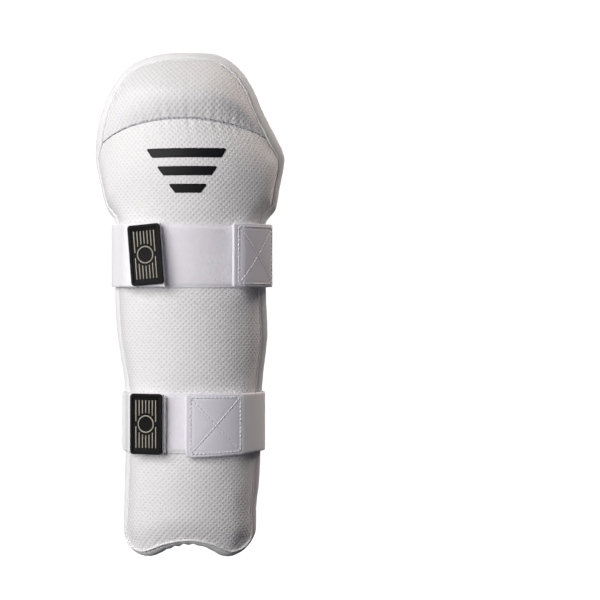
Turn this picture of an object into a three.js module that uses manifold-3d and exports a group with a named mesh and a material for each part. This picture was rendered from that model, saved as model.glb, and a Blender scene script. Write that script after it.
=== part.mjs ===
// A batter's leg guard: a padded knee-and-shin shield with a quilted liner, held on the leg by two wide straps.
// Millimetres, +Z up along the leg, the guard's front towards -Y and the leg towards +Y.
// The origin is where the shin sits: on the liner's inner face, at the middle of the front, between the straps.
import * as THREE from "three";
import { mergeVertices } from "three/addons/utils/BufferGeometryUtils.js";
import Module from "manifold-3d";

const wasm = await Module();
wasm.setup();

// Driving dimensions of the shield
const overallHeight = 400; // from the lobes of the ankle arch to the top of the knee cup
const kneeRadius = 84; // of the liner's outer face where it bends round the knee
const wingReach = 93; // half the guard's width at the knee wings, measured round the curve
const kneeForward = 10; // how far the knee stands in front of the shin
const kneeLean = 7; // how far the knee cup leans sideways off the shin's middle line
const archRise = 10; // of the ankle arch above the lobes on either side of it

// Layers, measured outwards from the leg
const linerThickness = 5;
const channelPitch = 9.5; // of the vertical air channels on the liner's inner face
const channelDepth = 1.4;
const rimWidth = 8; // of the padded rim that shows all round the two pads, along the left shin
const rimProud = 2; // how far the rim stands in front of the liner
const gatherDepth = 1.1; // of the gathers in the rim at the ankle arch
const gatherPitch = 8.6;
const gatherReach = 26; // the gathers lie this far either side of the middle
const shinPadThickness = 9;
const kneePadThickness = 13;
const padEdge = 2; // thickness left at a pad's sewn edge
const shinRound = 15; // width over which the shin pad rounds down to its edge
const kneeRound = 32;
const creaseRise = 15; // of the seam between the pads, from its ends to its middle
const creaseGap = 1; // between the pads at that seam
const seamGap = 0.3; // clearance between pieces that lie on each other
const bedGap = 0.7; // clearance under the pads, inside their seams
const padMargin = 0.6; // between the pads and the rim
const linerMargin = 1.4; // between the liner and the rim

// Straps and what is sewn on them
const strapWidth = 50;
const strapThickness = 1.8;
const calfWidth = 116; // of the leg at the upper strap
const calfDepth = 112;
const ankleWidth = 98; // of the leg at the lower strap
const ankleDepth = 96;
const loopPanelThickness = 1.6; // of the pile panel that the straps grip
const panelMargin = 20; // of the shin pad left either side of the panel
const hookThickness = 1.5;
const hookShow = 1.2; // how far the hook tape shows past a strap's end
const hookMargin = 1; // of the strap left above and below its hook tape
const patchLength = 46; // of the hook tape under a strap's sewn end
const labelWidth = 27;
const labelHeight = 47.5;
const labelThickness = 2.2;
const labelCorner = 2.6;
const labelLip = 0.8; // how far the raised lines stand out of a label
const labelBorder = 2.4;
const labelLine = 0.9;
const labelRibs = 7;
const labelRingRadius = 7.2;

// Printed bars below the knee
const barThickness = 0.8;
const barHeight = 7;
const barPitch = 13.4;
const longestBar = 58;
const barStep = 16; // each bar is this much shorter than the one above it
const barsBelowCrease = 41; // from the middle of the crease to the middle bar

// How finely the faces are cut
const padRowSpacing = 16;
const linerRowSpacing = 24;
const strapCornerSpacing = 5;

// Sections of the liner's outer face from the ankle up. height is a share of overallHeight, radius of kneeRadius,
// lean of kneeLean and forward of kneeForward.
const sections = [
  { height: 0, radius: 0.755, lean: 0.2, forward: 0.6 },
  { height: 0.1, radius: 0.765, lean: 0.1, forward: 0.3 },
  { height: 0.26, radius: 0.79, lean: 0, forward: 0 },
  { height: 0.43, radius: 0.855, lean: 0.05, forward: 0 },
  { height: 0.6, radius: 0.89, lean: 0.1, forward: 0.25 },
  { height: 0.7, radius: 0.94, lean: 0.18, forward: 0.65 },
  { height: 0.8, radius: 0.99, lean: 0.4, forward: 1 },
  { height: 0.88, radius: 1, lean: 0.95, forward: 0.8 },
  { height: 0.95, radius: 1, lean: 0.95, forward: 0 },
  { height: 1, radius: 1, lean: 0.7, forward: -0.9 },
];

// The guard's outline laid flat, from the lobes of the arch up to the top. left and right are shares of wingReach,
// height of overallHeight, and leftRim and rightRim of rimWidth.
const edge = [
  { name: "lobe", left: 0.41, right: 0.36, height: 0, leftRim: 0.5, rightRim: 0.5 },
  { name: "corner", left: 0.595, right: 0.53, height: 0.011, leftRim: 0.55, rightRim: 0.55 },
  { name: "heel", left: 0.665, right: 0.62, height: 0.0325, leftRim: 0.7, rightRim: 0.75 },
  { name: "ankle", left: 0.675, right: 0.635, height: 0.09, leftRim: 0.85, rightRim: 0.95 },
  { name: "flap", left: 0.67, right: 0.665, height: 0.14, leftRim: 0.95, rightRim: 1.05 },
  { name: "lower strap", left: 0.66, right: 0.68, height: 0.25, leftRim: 1, rightRim: 1.15 },
  { name: "strap top", left: 0.67, right: 0.69, height: 0.333, leftRim: 1, rightRim: 1.2 },
  { name: "shin", left: 0.76, right: 0.75, height: 0.43, leftRim: 1, rightRim: 1.25 },
  { name: "calf", left: 0.785, right: 0.73, height: 0.515, leftRim: 1, rightRim: 1.25 },
  { name: "upper strap", left: 0.745, right: 0.715, height: 0.645, leftRim: 1, rightRim: 1.2 },
  { name: "waist", left: 0.775, right: 0.76, height: 0.664, leftRim: 1, rightRim: 1.15 },
  { name: "wing root", left: 0.885, right: 0.865, height: 0.684, leftRim: 1, rightRim: 1.2 },
  { name: "wing foot", left: 0.955, right: 0.92, height: 0.72, leftRim: 1, rightRim: 1.3 },
  { name: "wing", left: 1.02, right: 1.01, height: 0.795, leftRim: 1, rightRim: 1.45 },
  { name: "hip", left: 0.935, right: 0.895, height: 0.84, leftRim: 1.4, rightRim: 1.6 },
  { name: "cup side", left: 0.825, right: 0.775, height: 0.88, leftRim: 1.2, rightRim: 1.35 },
  { name: "cup shoulder", left: 0.65, right: 0.625, height: 0.937, leftRim: 0.9, rightRim: 1.05 },
  { name: "cup corner", left: 0.5, right: 0.475, height: 0.973, leftRim: 0.85, rightRim: 0.9 },
  { name: "crown", left: 0.245, right: 0.285, height: 0.996, leftRim: 0.8, rightRim: 0.8 },
];

// The two straps. height is the share of overallHeight at a strap's middle, and width is a share of strapWidth. patch
// is where its sewn end starts and label where the middle of its label lies, as shares of half the leg's width either
// side of the middle. skew is the label's tilt.
const straps = [
  {
    name: "upper",
    height: 0.5975,
    width: 1,
    legWidth: calfWidth,
    legDepth: calfDepth,
    patch: 0.6,
    label: -0.605,
    skew: 4.7,
  },
  {
    name: "lower",
    height: 0.2658,
    width: 0.94,
    legWidth: ankleWidth,
    legDepth: ankleDepth,
    patch: -0.05,
    label: -0.673,
    skew: 0,
  },
];

const mix = THREE.MathUtils.lerp;
const range = (count) => Array.from({ length: count + 1 }, (_, i) => i / count);

// Shares from 0 to 1 that lie closer together near both ends.
const crowdedRange = (count, crowding) =>
  range(count).map((t) => mix(t, (1 - Math.cos(Math.PI * t)) / 2, crowding));

// The smooth curve of one column of the sections table, in millimetres of the size it is a share of.
function sectionCurve(column, size) {
  const heights = sections.map((row) => row.height * overallHeight);
  const values = sections.map((row) => row[column] * size);
  const curve = new THREE.CubicInterpolant(heights, values, 1, new Float64Array(1));
  return (z) => curve.evaluate(THREE.MathUtils.clamp(z, 0, overallHeight))[0];
}

const radiusAt = sectionCurve("radius", kneeRadius);
const leanAt = sectionCurve("lean", -kneeLean);
const frontAt = sectionCurve("forward", -kneeForward);

// The liner's outer face: across is measured round the curve from the middle line, and z up.
function facePoint(across, z) {
  const radius = radiusAt(z);
  const turn = across / radius;
  return new THREE.Vector3(leanAt(z) + radius * Math.sin(turn), frontAt(z) + radius * (1 - Math.cos(turn)), z);
}

function faceNormal(across, z) {
  const step = 0.5;
  const sideways = facePoint(across + step, z).sub(facePoint(across - step, z));
  const upwards = facePoint(across, z + step).sub(facePoint(across, z - step));
  return sideways.cross(upwards).normalize();
}

const raisedPoint = (flat, offset) =>
  facePoint(flat.x, flat.y).addScaledVector(faceNormal(flat.x, flat.y), offset);

// The outline laid flat is one closed curve, right side first, with a set number of points to each named stretch.
const stretchSteps = 12;
const sideControls = (side, sign) =>
  edge.map((row) => new THREE.Vector3(sign * row[side] * wingReach, row.height * overallHeight, 0));
const rightControls = sideControls("right", 1);
const leftControls = sideControls("left", -1);
const archControl = (lobe) => new THREE.Vector3(lobe.x * 0.42, archRise * 0.75, 0);
const outlineControls = [
  ...rightControls,
  new THREE.Vector3(0, overallHeight, 0),
  ...leftControls.reverse(),
  archControl(leftControls.at(-1)),
  new THREE.Vector3(0, archRise, 0),
  archControl(rightControls[0]),
];
const outline = new THREE.CatmullRomCurve3(outlineControls, true, "centripetal")
  .getPoints(outlineControls.length * stretchSteps)
  .slice(0, -1)
  .map((p) => new THREE.Vector2(p.x, p.y));
const rightIndex = (name) => edge.findIndex((row) => row.name === name) * stretchSteps;
const leftIndex = (name) => 2 * edge.length * stretchSteps - rightIndex(name);

// Shares along the outline between two named points, with one at each name and none further apart than a spacing.
function sideRows(from, to, spacing) {
  const names = edge.map((row) => row.name);
  const rows = edge.slice(names.indexOf(from), names.indexOf(to) + 1);
  const shares = [0];
  rows.slice(1).forEach((row, k) => {
    const steps = Math.ceil(((row.height - rows[k].height) * overallHeight) / spacing);
    for (const t of range(steps).slice(1)) shares.push((k + t) / (rows.length - 1));
  });
  return shares;
}

// How wide the rim is at a point of the outline.
const rightShares = edge.map((row) => row.rightRim);
const leftShares = edge.map((row) => row.leftRim).reverse();
const archShares = [leftShares.at(-1), leftShares.at(-1), rightShares[0]];
const rimShares = [...rightShares, leftShares[0], ...leftShares, ...archShares];
function rimAt(index) {
  const from = Math.floor(index / stretchSteps);
  const next = (from + 1) % rimShares.length;
  return rimWidth * mix(rimShares[from], rimShares[next], index / stretchSteps - from);
}

// Which way is inwards at a point of the outline.
function inwardsAt(index) {
  const count = outline.length;
  const along = outline[(index + 1) % count].clone().sub(outline[(index + count - 1) % count]);
  return new THREE.Vector2(-along.y, along.x).normalize();
}

// Walks a chain of points by its length.
function chain(points) {
  const lengths = [0];
  points.slice(1).forEach((p, i) => lengths.push(lengths[i] + p.distanceTo(points[i])));
  const walk = (share) => {
    const wanted = share * walk.total;
    const i = Math.min(Math.max(lengths.findIndex((l) => l >= wanted), 1), points.length - 1);
    const within = (wanted - lengths[i - 1]) / (lengths[i] - lengths[i - 1] || 1);
    return points[i - 1].clone().lerp(points[i], within);
  };
  walk.total = lengths.at(-1);
  return walk;
}

// Walks a list of points by their number, so that named points of two lists stay level.
function stroll(points) {
  return (share) => {
    const at = share * (points.length - 1);
    const i = Math.min(Math.floor(at), points.length - 2);
    return points[i].clone().lerp(points[i + 1], at - i);
  };
}

// A stretch of a closed list of points, from one index on to another.
function stretch(points, from, to) {
  const steps = (to - from + points.length) % points.length;
  return Array.from({ length: steps + 1 }, (_, i) => points[(from + i) % points.length]);
}

// A four-sided patch between its bottom, top, left and right edges.
function patch(bottom, top, left, right) {
  return (u, v) =>
    new THREE.Vector2()
      .addScaledVector(bottom(u), 1 - v)
      .addScaledVector(top(u), v)
      .addScaledVector(left(v), 1 - u)
      .addScaledVector(right(v), u)
      .addScaledVector(bottom(0), -(1 - u) * (1 - v))
      .addScaledVector(bottom(1), -u * (1 - v))
      .addScaledVector(top(0), -(1 - u) * v)
      .addScaledVector(top(1), -u * v);
}

function distanceToLoop(loop, point) {
  let nearest = Infinity;
  loop.forEach((a, i) => {
    const side = loop[(i + 1) % loop.length].clone().sub(a);
    const share = THREE.MathUtils.clamp(point.clone().sub(a).dot(side) / (side.lengthSq() || 1), 0, 1);
    nearest = Math.min(nearest, a.clone().addScaledVector(side, share).distanceTo(point));
  });
  return nearest;
}

// A closed solid from points and triangles, with its faces turned outwards.
function solidGeometry(points, triangles) {
  const whole = new THREE.BufferGeometry();
  whole.setAttribute("position", new THREE.Float32BufferAttribute(points.flatMap((p) => p.toArray()), 3));
  whole.setIndex(triangles);
  const merged = mergeVertices(whole, 1e-4);
  const positions = merged.getAttribute("position");
  const index = [...merged.index.array];
  const kept = [];
  let volume = 0;
  for (let i = 0; i < index.length; i += 3) {
    const corners = index.slice(i, i + 3);
    if (new Set(corners).size < 3) continue;
    kept.push(...corners);
    const [a, b, c] = corners.map((k) => new THREE.Vector3().fromBufferAttribute(positions, k));
    volume += a.dot(b.cross(c));
  }
  merged.setIndex(volume > 0 ? kept : kept.reverse());
  return merged;
}

// A wall between two grids of points, grid[i][j], closed round its border.
function wallBetween(outer, inner) {
  const columns = outer.length - 1;
  const rows = outer[0].length - 1;
  const at = (layer, i, j) => (layer * (columns + 1) + i) * (rows + 1) + j;
  const triangles = [];
  const quad = (a, b, c, d) => triangles.push(a, b, c, a, c, d);
  for (let i = 0; i < columns; i++) {
    for (let j = 0; j < rows; j++) {
      quad(at(0, i, j), at(0, i + 1, j), at(0, i + 1, j + 1), at(0, i, j + 1));
      quad(at(1, i, j), at(1, i, j + 1), at(1, i + 1, j + 1), at(1, i + 1, j));
    }
    quad(at(0, i, 0), at(1, i, 0), at(1, i + 1, 0), at(0, i + 1, 0));
    quad(at(0, i, rows), at(0, i + 1, rows), at(1, i + 1, rows), at(1, i, rows));
  }
  for (let j = 0; j < rows; j++) {
    quad(at(0, 0, j), at(0, 0, j + 1), at(1, 0, j + 1), at(1, 0, j));
    quad(at(0, columns, j), at(1, columns, j), at(1, columns, j + 1), at(0, columns, j + 1));
  }
  return solidGeometry([...outer.flat(), ...inner.flat()], triangles);
}

// A closed ring through sections that each have the same number of corners.
function ringThrough(rings) {
  const corners = rings[0].length;
  const triangles = [];
  rings.forEach((_, i) => {
    const here = i * corners;
    const next = ((i + 1) % rings.length) * corners;
    for (let k = 0; k < corners; k++) {
      const l = (k + 1) % corners;
      triangles.push(here + k, next + k, next + l, here + k, next + l, here + l);
    }
  });
  return solidGeometry(rings.flat(), triangles);
}

const guard = new THREE.Group();

const finishes = {
  mesh: { color: 0xe9e8e8, roughness: 0.85, metalness: 0 },
  rim: { color: 0xe4e4e6, roughness: 0.8, metalness: 0 },
  liner: { color: 0xdedee2, roughness: 0.92, metalness: 0 },
  webbing: { color: 0xe8e8ee, roughness: 0.75, metalness: 0 },
  pile: { color: 0xe0deec, roughness: 0.98, metalness: 0 },
  hook: { color: 0xf0f0f2, roughness: 0.6, metalness: 0 },
  rubber: { color: 0x17171a, roughness: 0.55, metalness: 0 },
  print: { color: 0x0e0e12, roughness: 0.5, metalness: 0 },
};

function add(name, geometry, finish) {
  const mesh = new THREE.Mesh(geometry, new THREE.MeshStandardMaterial(finishes[finish]));
  mesh.name = name;
  guard.add(mesh);
}

// The outline drawn in by the rim's width and a margin.
const insideRim = (margin) => outline.map((p, i) => p.clone().addScaledVector(inwardsAt(i), rimAt(i) + margin));

// The pads lie inside the rim, and meet at the crease, which ends a little above the right hip.
const padOutline = insideRim(padMargin);
const padStretch = (from, to) => stretch(padOutline, from, to);
const creaseEnd = rightIndex("hip") + 3;
const rightHip = padOutline[creaseEnd];
const leftHip = padOutline[leftIndex("hip")];
const crease = (shift) => (u) =>
  leftHip.clone().lerp(rightHip, u).add(new THREE.Vector2(0, creaseRise * (1 - (2 * u - 1) ** 2) + shift));

// How thick a pad is at a distance from its sewn edge.
function padDepth(full, round, distance) {
  const share = Math.min(distance / round, 1);
  return padEdge + (full - padEdge) * Math.sin((Math.PI / 2) * share);
}

// The shin pad runs from the arch up to the crease.
const shinTop = crease(-creaseGap);
const shinSide = (points, top) => stroll([...points.slice(0, -1), top]);
const shinBottom = stroll(padStretch(leftIndex("corner"), rightIndex("corner")));
const shinLeft = shinSide(padStretch(leftIndex("hip"), leftIndex("corner")).reverse(), shinTop(0));
const shinRight = shinSide(padStretch(rightIndex("corner"), creaseEnd), shinTop(1));
const shinPatch = patch(shinBottom, shinTop, shinLeft, shinRight);
const shinLoop = [
  ...range(40).map(shinBottom),
  ...range(60).map(shinRight),
  ...range(30).map(shinTop).reverse(),
  ...range(60).map(shinLeft).reverse(),
];
const shinDepth = (flat) => padDepth(shinPadThickness, shinRound, distanceToLoop(shinLoop, flat));
const shinSurface = (flat, offset) => raisedPoint(flat, bedGap + shinDepth(flat) + offset);

// The knee pad is the puffed cup above the crease.
const kneeBottom = crease(0);
const kneeTop = stroll(padStretch(creaseEnd, leftIndex("hip")).reverse());
const kneePatch = patch(
  kneeBottom,
  kneeTop,
  () => kneeTop(0),
  () => kneeTop(1),
);
const kneeLoop = [...range(50).map(kneeBottom), ...range(80).map(kneeTop).reverse()];
const kneeDepth = (flat) => padDepth(kneePadThickness, kneeRound, distanceToLoop(kneeLoop, flat));

// A pad on the liner, as deep at each place as its depth function says.
function padGeometry(place, depth, across, upwards) {
  const grid = across.map((u) => upwards.map((v) => place(u, v)));
  const outer = grid.map((column) => column.map((flat) => raisedPoint(flat, bedGap + depth(flat))));
  const inner = grid.map((column) => column.map((flat) => raisedPoint(flat, bedGap)));
  return wallBetween(outer, inner);
}

const shinRows = sideRows("corner", "hip", padRowSpacing);
add("shin_pad", padGeometry(shinPatch, shinDepth, crowdedRange(20, 0.6), shinRows), "mesh");
add("knee_pad", padGeometry(kneePatch, kneeDepth, range(24), crowdedRange(12, 0.75)), "mesh");

// The liner fills the rim, with rounded channels down its inner face.
const linerOutline = insideRim(linerMargin);
const linerPatch = patch(
  stroll(stretch(linerOutline, leftIndex("corner"), rightIndex("corner"))),
  stroll(stretch(linerOutline, rightIndex("cup corner"), leftIndex("cup corner")).reverse()),
  stroll(stretch(linerOutline, leftIndex("cup corner"), leftIndex("corner")).reverse()),
  stroll(stretch(linerOutline, rightIndex("corner"), rightIndex("cup corner"))),
);
const linerSpan = linerOutline[rightIndex("ankle")].x - linerOutline[leftIndex("ankle")].x;
const channelCount = Math.round(linerSpan / channelPitch);
const linerColumns = range(3 * channelCount);
const channelCut = (u) => channelDepth * Math.cos(Math.PI * channelCount * u) ** 8;
const linerRows = sideRows("corner", "cup corner", linerRowSpacing);
const linerGrid = linerColumns.map((u) => linerRows.map((v) => linerPatch(u, v)));
add(
  "liner",
  wallBetween(
    linerGrid.map((column) => column.map((flat) => raisedPoint(flat, 0))),
    linerGrid.map((column, i) =>
      column.map((flat) => raisedPoint(flat, channelCut(linerColumns[i]) - linerThickness)),
    ),
  ),
  "liner",
);

// The padded rim runs all round the edge, gathered where it turns round the ankle arch.
const rimCorners = 6;
const isGathered = (flat) => flat.y < 2 * archRise && Math.abs(flat.x) < gatherReach;

function gatherAt(flat) {
  if (!isGathered(flat)) return 0;
  const fade = Math.cos((Math.PI / 2) * (flat.x / gatherReach));
  return (fade * gatherDepth * (1 - Math.cos((2 * Math.PI * flat.x) / gatherPitch))) / 2;
}

function rimSection(index) {
  const edgePoint = outline[index];
  const rounding = 1 / Math.cos(Math.PI / rimCorners);
  return Array.from({ length: rimCorners }, (_, k) => {
    const angle = (2 * Math.PI * (k + 0.5)) / rimCorners;
    const across = THREE.MathUtils.clamp(Math.cos(angle) * rounding, -1, 1);
    const upwards = THREE.MathUtils.clamp(Math.sin(angle) * rounding, -1, 1);
    const inset = (rimAt(index) / 2) * (1 - across) + gatherAt(edgePoint) * Math.max(across, 0);
    const offset = mix(-linerThickness, rimProud, (1 + upwards) / 2);
    return raisedPoint(edgePoint.clone().addScaledVector(inwardsAt(index), inset), offset);
  });
}

const rimStops = range(outline.length)
  .map((share) => Math.round(share * outline.length))
  .slice(0, -1)
  .filter((i) => i % 4 === 0 || (i % 2 === 0 && isGathered(outline[i])));
add("rim", ringThrough(rimStops.map(rimSection)), "rim");

// Printed bars that taper downwards, on the front of the shin pad below the knee.
const barsMiddle = crease(-barsBelowCrease)(0.5).y;
for (const row of [0, 1, 2]) {
  const halfLength = (longestBar - row * barStep) / 2;
  const middle = barsMiddle + (1 - row) * barPitch;
  const barPoint = (u, v) => {
    const halfAtHeight = halfLength - (barHeight / 2) * (1 - v);
    return new THREE.Vector2(mix(-1, 1, u) * halfAtHeight, middle + barHeight * (v - 0.5));
  };
  const grid = range(10).map((u) => range(2).map((v) => barPoint(u, v)));
  add(
    "knee_bar_" + (row + 1),
    wallBetween(
      grid.map((column) => column.map((flat) => shinSurface(flat, seamGap + barThickness))),
      grid.map((column) => column.map((flat) => shinSurface(flat, seamGap))),
    ),
    "print",
  );
}

// The corners of the smallest convex outline round a set of points, anticlockwise.
function convexHull(points) {
  const halfHull = (list) => {
    const hull = [];
    for (const p of list) {
      while (hull.length > 1) {
        const [a, b] = hull.slice(-2);
        if (b.clone().sub(a).cross(p.clone().sub(a)) > 1e-9) break;
        hull.pop();
      }
      hull.push(p);
    }
    return hull.slice(0, -1);
  };
  const sorted = [...points].sort((a, b) => a.x - b.x || a.y - b.y);
  return [...halfHull(sorted), ...halfHull(sorted.reverse())];
}

// How far round the curve the guard reaches at a height, on the side that has the sign.
function reachAt(z, sign) {
  const from = sign > 0 ? rightIndex("heel") : leftIndex("crown");
  const to = sign > 0 ? rightIndex("crown") : leftIndex("heel");
  const side = stretch(outline, from, to);
  const i = side.findIndex((p, k) => k > 0 && (side[k - 1].y - z) * (p.y - z) <= 0);
  const share = (z - side[i - 1].y) / (side[i].y - side[i - 1].y);
  return Math.abs(mix(side[i - 1].x, side[i].x, share));
}

// Where a closed outline, seen from above, crosses a line at x on its front side.
function frontCrossing(loop, x) {
  const crossings = loop.flatMap((a, i) => {
    const b = loop[(i + 1) % loop.length];
    if ((a.x - x) * (b.x - x) > 0 || a.x === b.x) return [];
    return [{ index: i, point: a.clone().lerp(b, (x - a.x) / (b.x - a.x)) }];
  });
  return crossings.reduce((best, c) => (c.point.y < best.point.y ? c : best));
}

// A chain of points without those that lie too close together for a band's corners.
function spacedOut(points, spacing) {
  const kept = [points[0]];
  points.slice(1, -1).forEach((p, i) => {
    const turn = p.clone().sub(points[i]).angleTo(points[i + 2].clone().sub(p));
    const distance = p.distanceTo(kept.at(-1));
    if (distance > spacing || (turn > 0.15 && distance > spacing / 4)) kept.push(p);
  });
  if (points.at(-1).distanceTo(kept.at(-1)) < spacing / 2) kept.pop();
  return [...kept, points.at(-1)];
}

// One step of a band: where it is, which way it runs and which way is out.
const bandStep = (point, along) => ({ point, along, outwards: new THREE.Vector2(along.y, -along.x) });
const slideStep = (step, length) => ({ ...step, point: step.point.clone().addScaledVector(step.along, length) });

function bandSteps(points) {
  return points.map((p, i) => {
    const ahead = points[Math.min(i + 1, points.length - 1)];
    const behind = points[Math.max(i - 1, 0)];
    return bandStep(p, ahead.clone().sub(behind).normalize());
  });
}

// An upright band along some steps, between two offsets and two heights. slant shifts its last edge with height.
function bandGeometry(steps, [inside, outside], [low, high], slant) {
  const side = (offset) =>
    steps.map((step, i) =>
      [low, high].map((z) => {
        const shift = i === steps.length - 1 ? slant * ((low + high) / 2 - z) : 0;
        const flat = step.point.clone().addScaledVector(step.outwards, offset).addScaledVector(step.along, shift);
        return new THREE.Vector3(flat.x, flat.y, z);
      }),
    );
  return wallBetween(side(outside), side(inside));
}

// The pile panel sewn across the front of the shin pad, behind a strap.
function loopPanel([low, high], reach) {
  const grid = range(20).map((u) =>
    range(3).map((v) => new THREE.Vector2(mix(-reach, reach, u), mix(low, high, v))),
  );
  return wallBetween(
    grid.map((column) => column.map((flat) => shinSurface(flat, seamGap + loopPanelThickness))),
    grid.map((column) => column.map((flat) => shinSurface(flat, seamGap))),
  );
}

// What a strap is stretched over, seen from above: the guard at several heights, and the leg behind it.
function carriedOutline(strap, levels, panelReach, patchFrom, labelAt) {
  const ease = 2 * hookShow;
  const points = [];
  for (const z of levels) {
    for (const t of range(80)) {
      const reach = t < 0.5 ? reachAt(z, -1) : reachAt(z, 1);
      const flat = new THREE.Vector2(mix(-reachAt(z, -1), reachAt(z, 1), t), z);
      const pastRim = THREE.MathUtils.clamp((2 * (Math.abs(flat.x) - reach)) / rimWidth + 1, 0, 1);
      const onPad = Math.abs(flat.x) < reach - rimWidth - padMargin;
      const bare = onPad ? shinSurface(flat, 0) : raisedPoint(flat, rimProud * (1 - pastRim / 2));
      const underPatch = bare.x > patchFrom - ease && flat.x < patchFrom + patchLength;
      const underLabel = Math.abs(bare.x - labelAt) < labelWidth / 4;
      const overHook = underPatch || underLabel ? hookThickness + seamGap : 0;
      const overPanel = Math.abs(flat.x) < panelReach + ease ? loopPanelThickness + seamGap : 0;
      const place = bare.addScaledVector(faceNormal(flat.x, z), 2 * seamGap + overPanel + overHook);
      points.push(new THREE.Vector2(place.x, place.y));
    }
  }
  const middle = strap.height * overallHeight;
  const legBack = frontAt(middle) + strap.legDepth;
  for (const t of range(60)) {
    const angle = 2 * Math.PI * t;
    const x = leanAt(middle) + (strap.legWidth / 2) * Math.cos(angle);
    points.push(new THREE.Vector2(x, legBack - (strap.legDepth / 2) * (1 - Math.sin(angle))));
  }
  return convexHull(points);
}

// The straight free end of a strap, which rests on what it covers under the middle of its label.
function freeEndStep(carried, labelAt) {
  const before = frontCrossing(carried, labelAt - labelWidth / 6).point;
  const after = frontCrossing(carried, labelAt + labelWidth / 6).point;
  const seat = bandStep(frontCrossing(carried, labelAt).point, after.sub(before).normalize());
  const clear = Math.max(...carried.map((p) => p.dot(seat.outwards))) - seat.point.dot(seat.outwards);
  seat.point.addScaledVector(seat.outwards, clear);
  return slideStep(seat, -labelWidth / 2);
}

for (const strap of straps) {
  const middle = strap.height * overallHeight;
  const halfWidth = (strap.width * strapWidth) / 2;
  const strapEdges = [middle - halfWidth, middle + halfWidth];
  const levels = range(8).map((t) => mix(...strapEdges, t));
  const narrowest = Math.min(...levels.flatMap((z) => [reachAt(z, 1), reachAt(z, -1)]));
  const panelReach = narrowest - rimWidth - padMargin - panelMargin;
  add(strap.name + "_loop_panel", loopPanel(strapEdges, panelReach), "pile");

  // The strap runs from its sewn end on the front, round the back of the leg, to the free end with the label.
  const patchFrom = (strap.patch * strap.legWidth) / 2;
  const labelAt = (strap.label * strap.legWidth) / 2;
  const carried = carriedOutline(strap, levels, panelReach, patchFrom, labelAt);
  const freeEnd = freeEndStep(carried, labelAt);
  const start = frontCrossing(carried, patchFrom);
  const lift = frontCrossing(carried, freeEnd.point.x - labelWidth / 4);
  const between = stretch(carried, (start.index + 1) % carried.length, lift.index);
  const route = spacedOut([start.point, ...between, lift.point, freeEnd.point], strapCornerSpacing);
  const steps = bandSteps(route);
  const slant = Math.tan(THREE.MathUtils.degToRad(strap.skew));
  const strapLayers = [0, strapThickness];
  add(
    strap.name + "_strap",
    bandGeometry([...steps, slideStep(freeEnd, labelWidth)], strapLayers, strapEdges, slant),
    "webbing",
  );

  // Hook tape under the sewn end, and under the label at the free end.
  const hookLayers = [-seamGap - hookThickness, -seamGap];
  const hookEdges = [strapEdges[0] + hookMargin, strapEdges[1] - hookMargin];
  const walk = chain(route);
  const patchPoints = range(9).map((t) => walk((t * patchLength) / walk.total));
  const patchSteps = bandSteps(patchPoints);
  add(
    strap.name + "_hook_patch",
    bandGeometry([slideStep(patchSteps[0], -hookShow), ...patchSteps], hookLayers, hookEdges, 0),
    "hook",
  );
  const tabSteps = [1, labelWidth / 2, labelWidth + hookShow].map((length) => slideStep(freeEnd, length));
  add(strap.name + "_hook_tab", bandGeometry(tabSteps, hookLayers, hookEdges, slant), "hook");

  // The moulded label on the free end.
  const seat = slideStep(freeEnd, labelWidth / 2);
  const base = seat.point.clone().addScaledVector(seat.outwards, strapThickness + seamGap);
  const label = labelGeometry();
  label.rotateZ(THREE.MathUtils.degToRad(strap.skew));
  label.applyMatrix4(
    new THREE.Matrix4().makeBasis(
      new THREE.Vector3(seat.along.x, seat.along.y, 0),
      new THREE.Vector3(0, 0, 1),
      new THREE.Vector3(seat.outwards.x, seat.outwards.y, 0),
    ),
  );
  add(strap.name + "_label", label.translate(base.x, base.y, middle), "rubber");
}

function roundedPlate(width, height, corner) {
  const x = width / 2 - corner;
  const y = height / 2 - corner;
  const shape = new THREE.Shape();
  shape.absarc(x, -y, corner, -Math.PI / 2, 0);
  shape.absarc(x, y, corner, 0, Math.PI / 2);
  shape.absarc(-x, y, corner, Math.PI / 2, Math.PI);
  shape.absarc(-x, -y, corner, Math.PI, 1.5 * Math.PI);
  return shape;
}

// A three.js geometry as a solid that can be joined to others.
function toSolid(geometry) {
  const bare = geometry.clone();
  bare.deleteAttribute("normal");
  bare.deleteAttribute("uv");
  const merged = mergeVertices(bare, 1e-4);
  const vertProperties = new Float32Array(merged.getAttribute("position").array);
  const triVerts = new Uint32Array(merged.index.array);
  return new wasm.Manifold(new wasm.Mesh({ numProp: 3, vertProperties, triVerts }));
}

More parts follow.
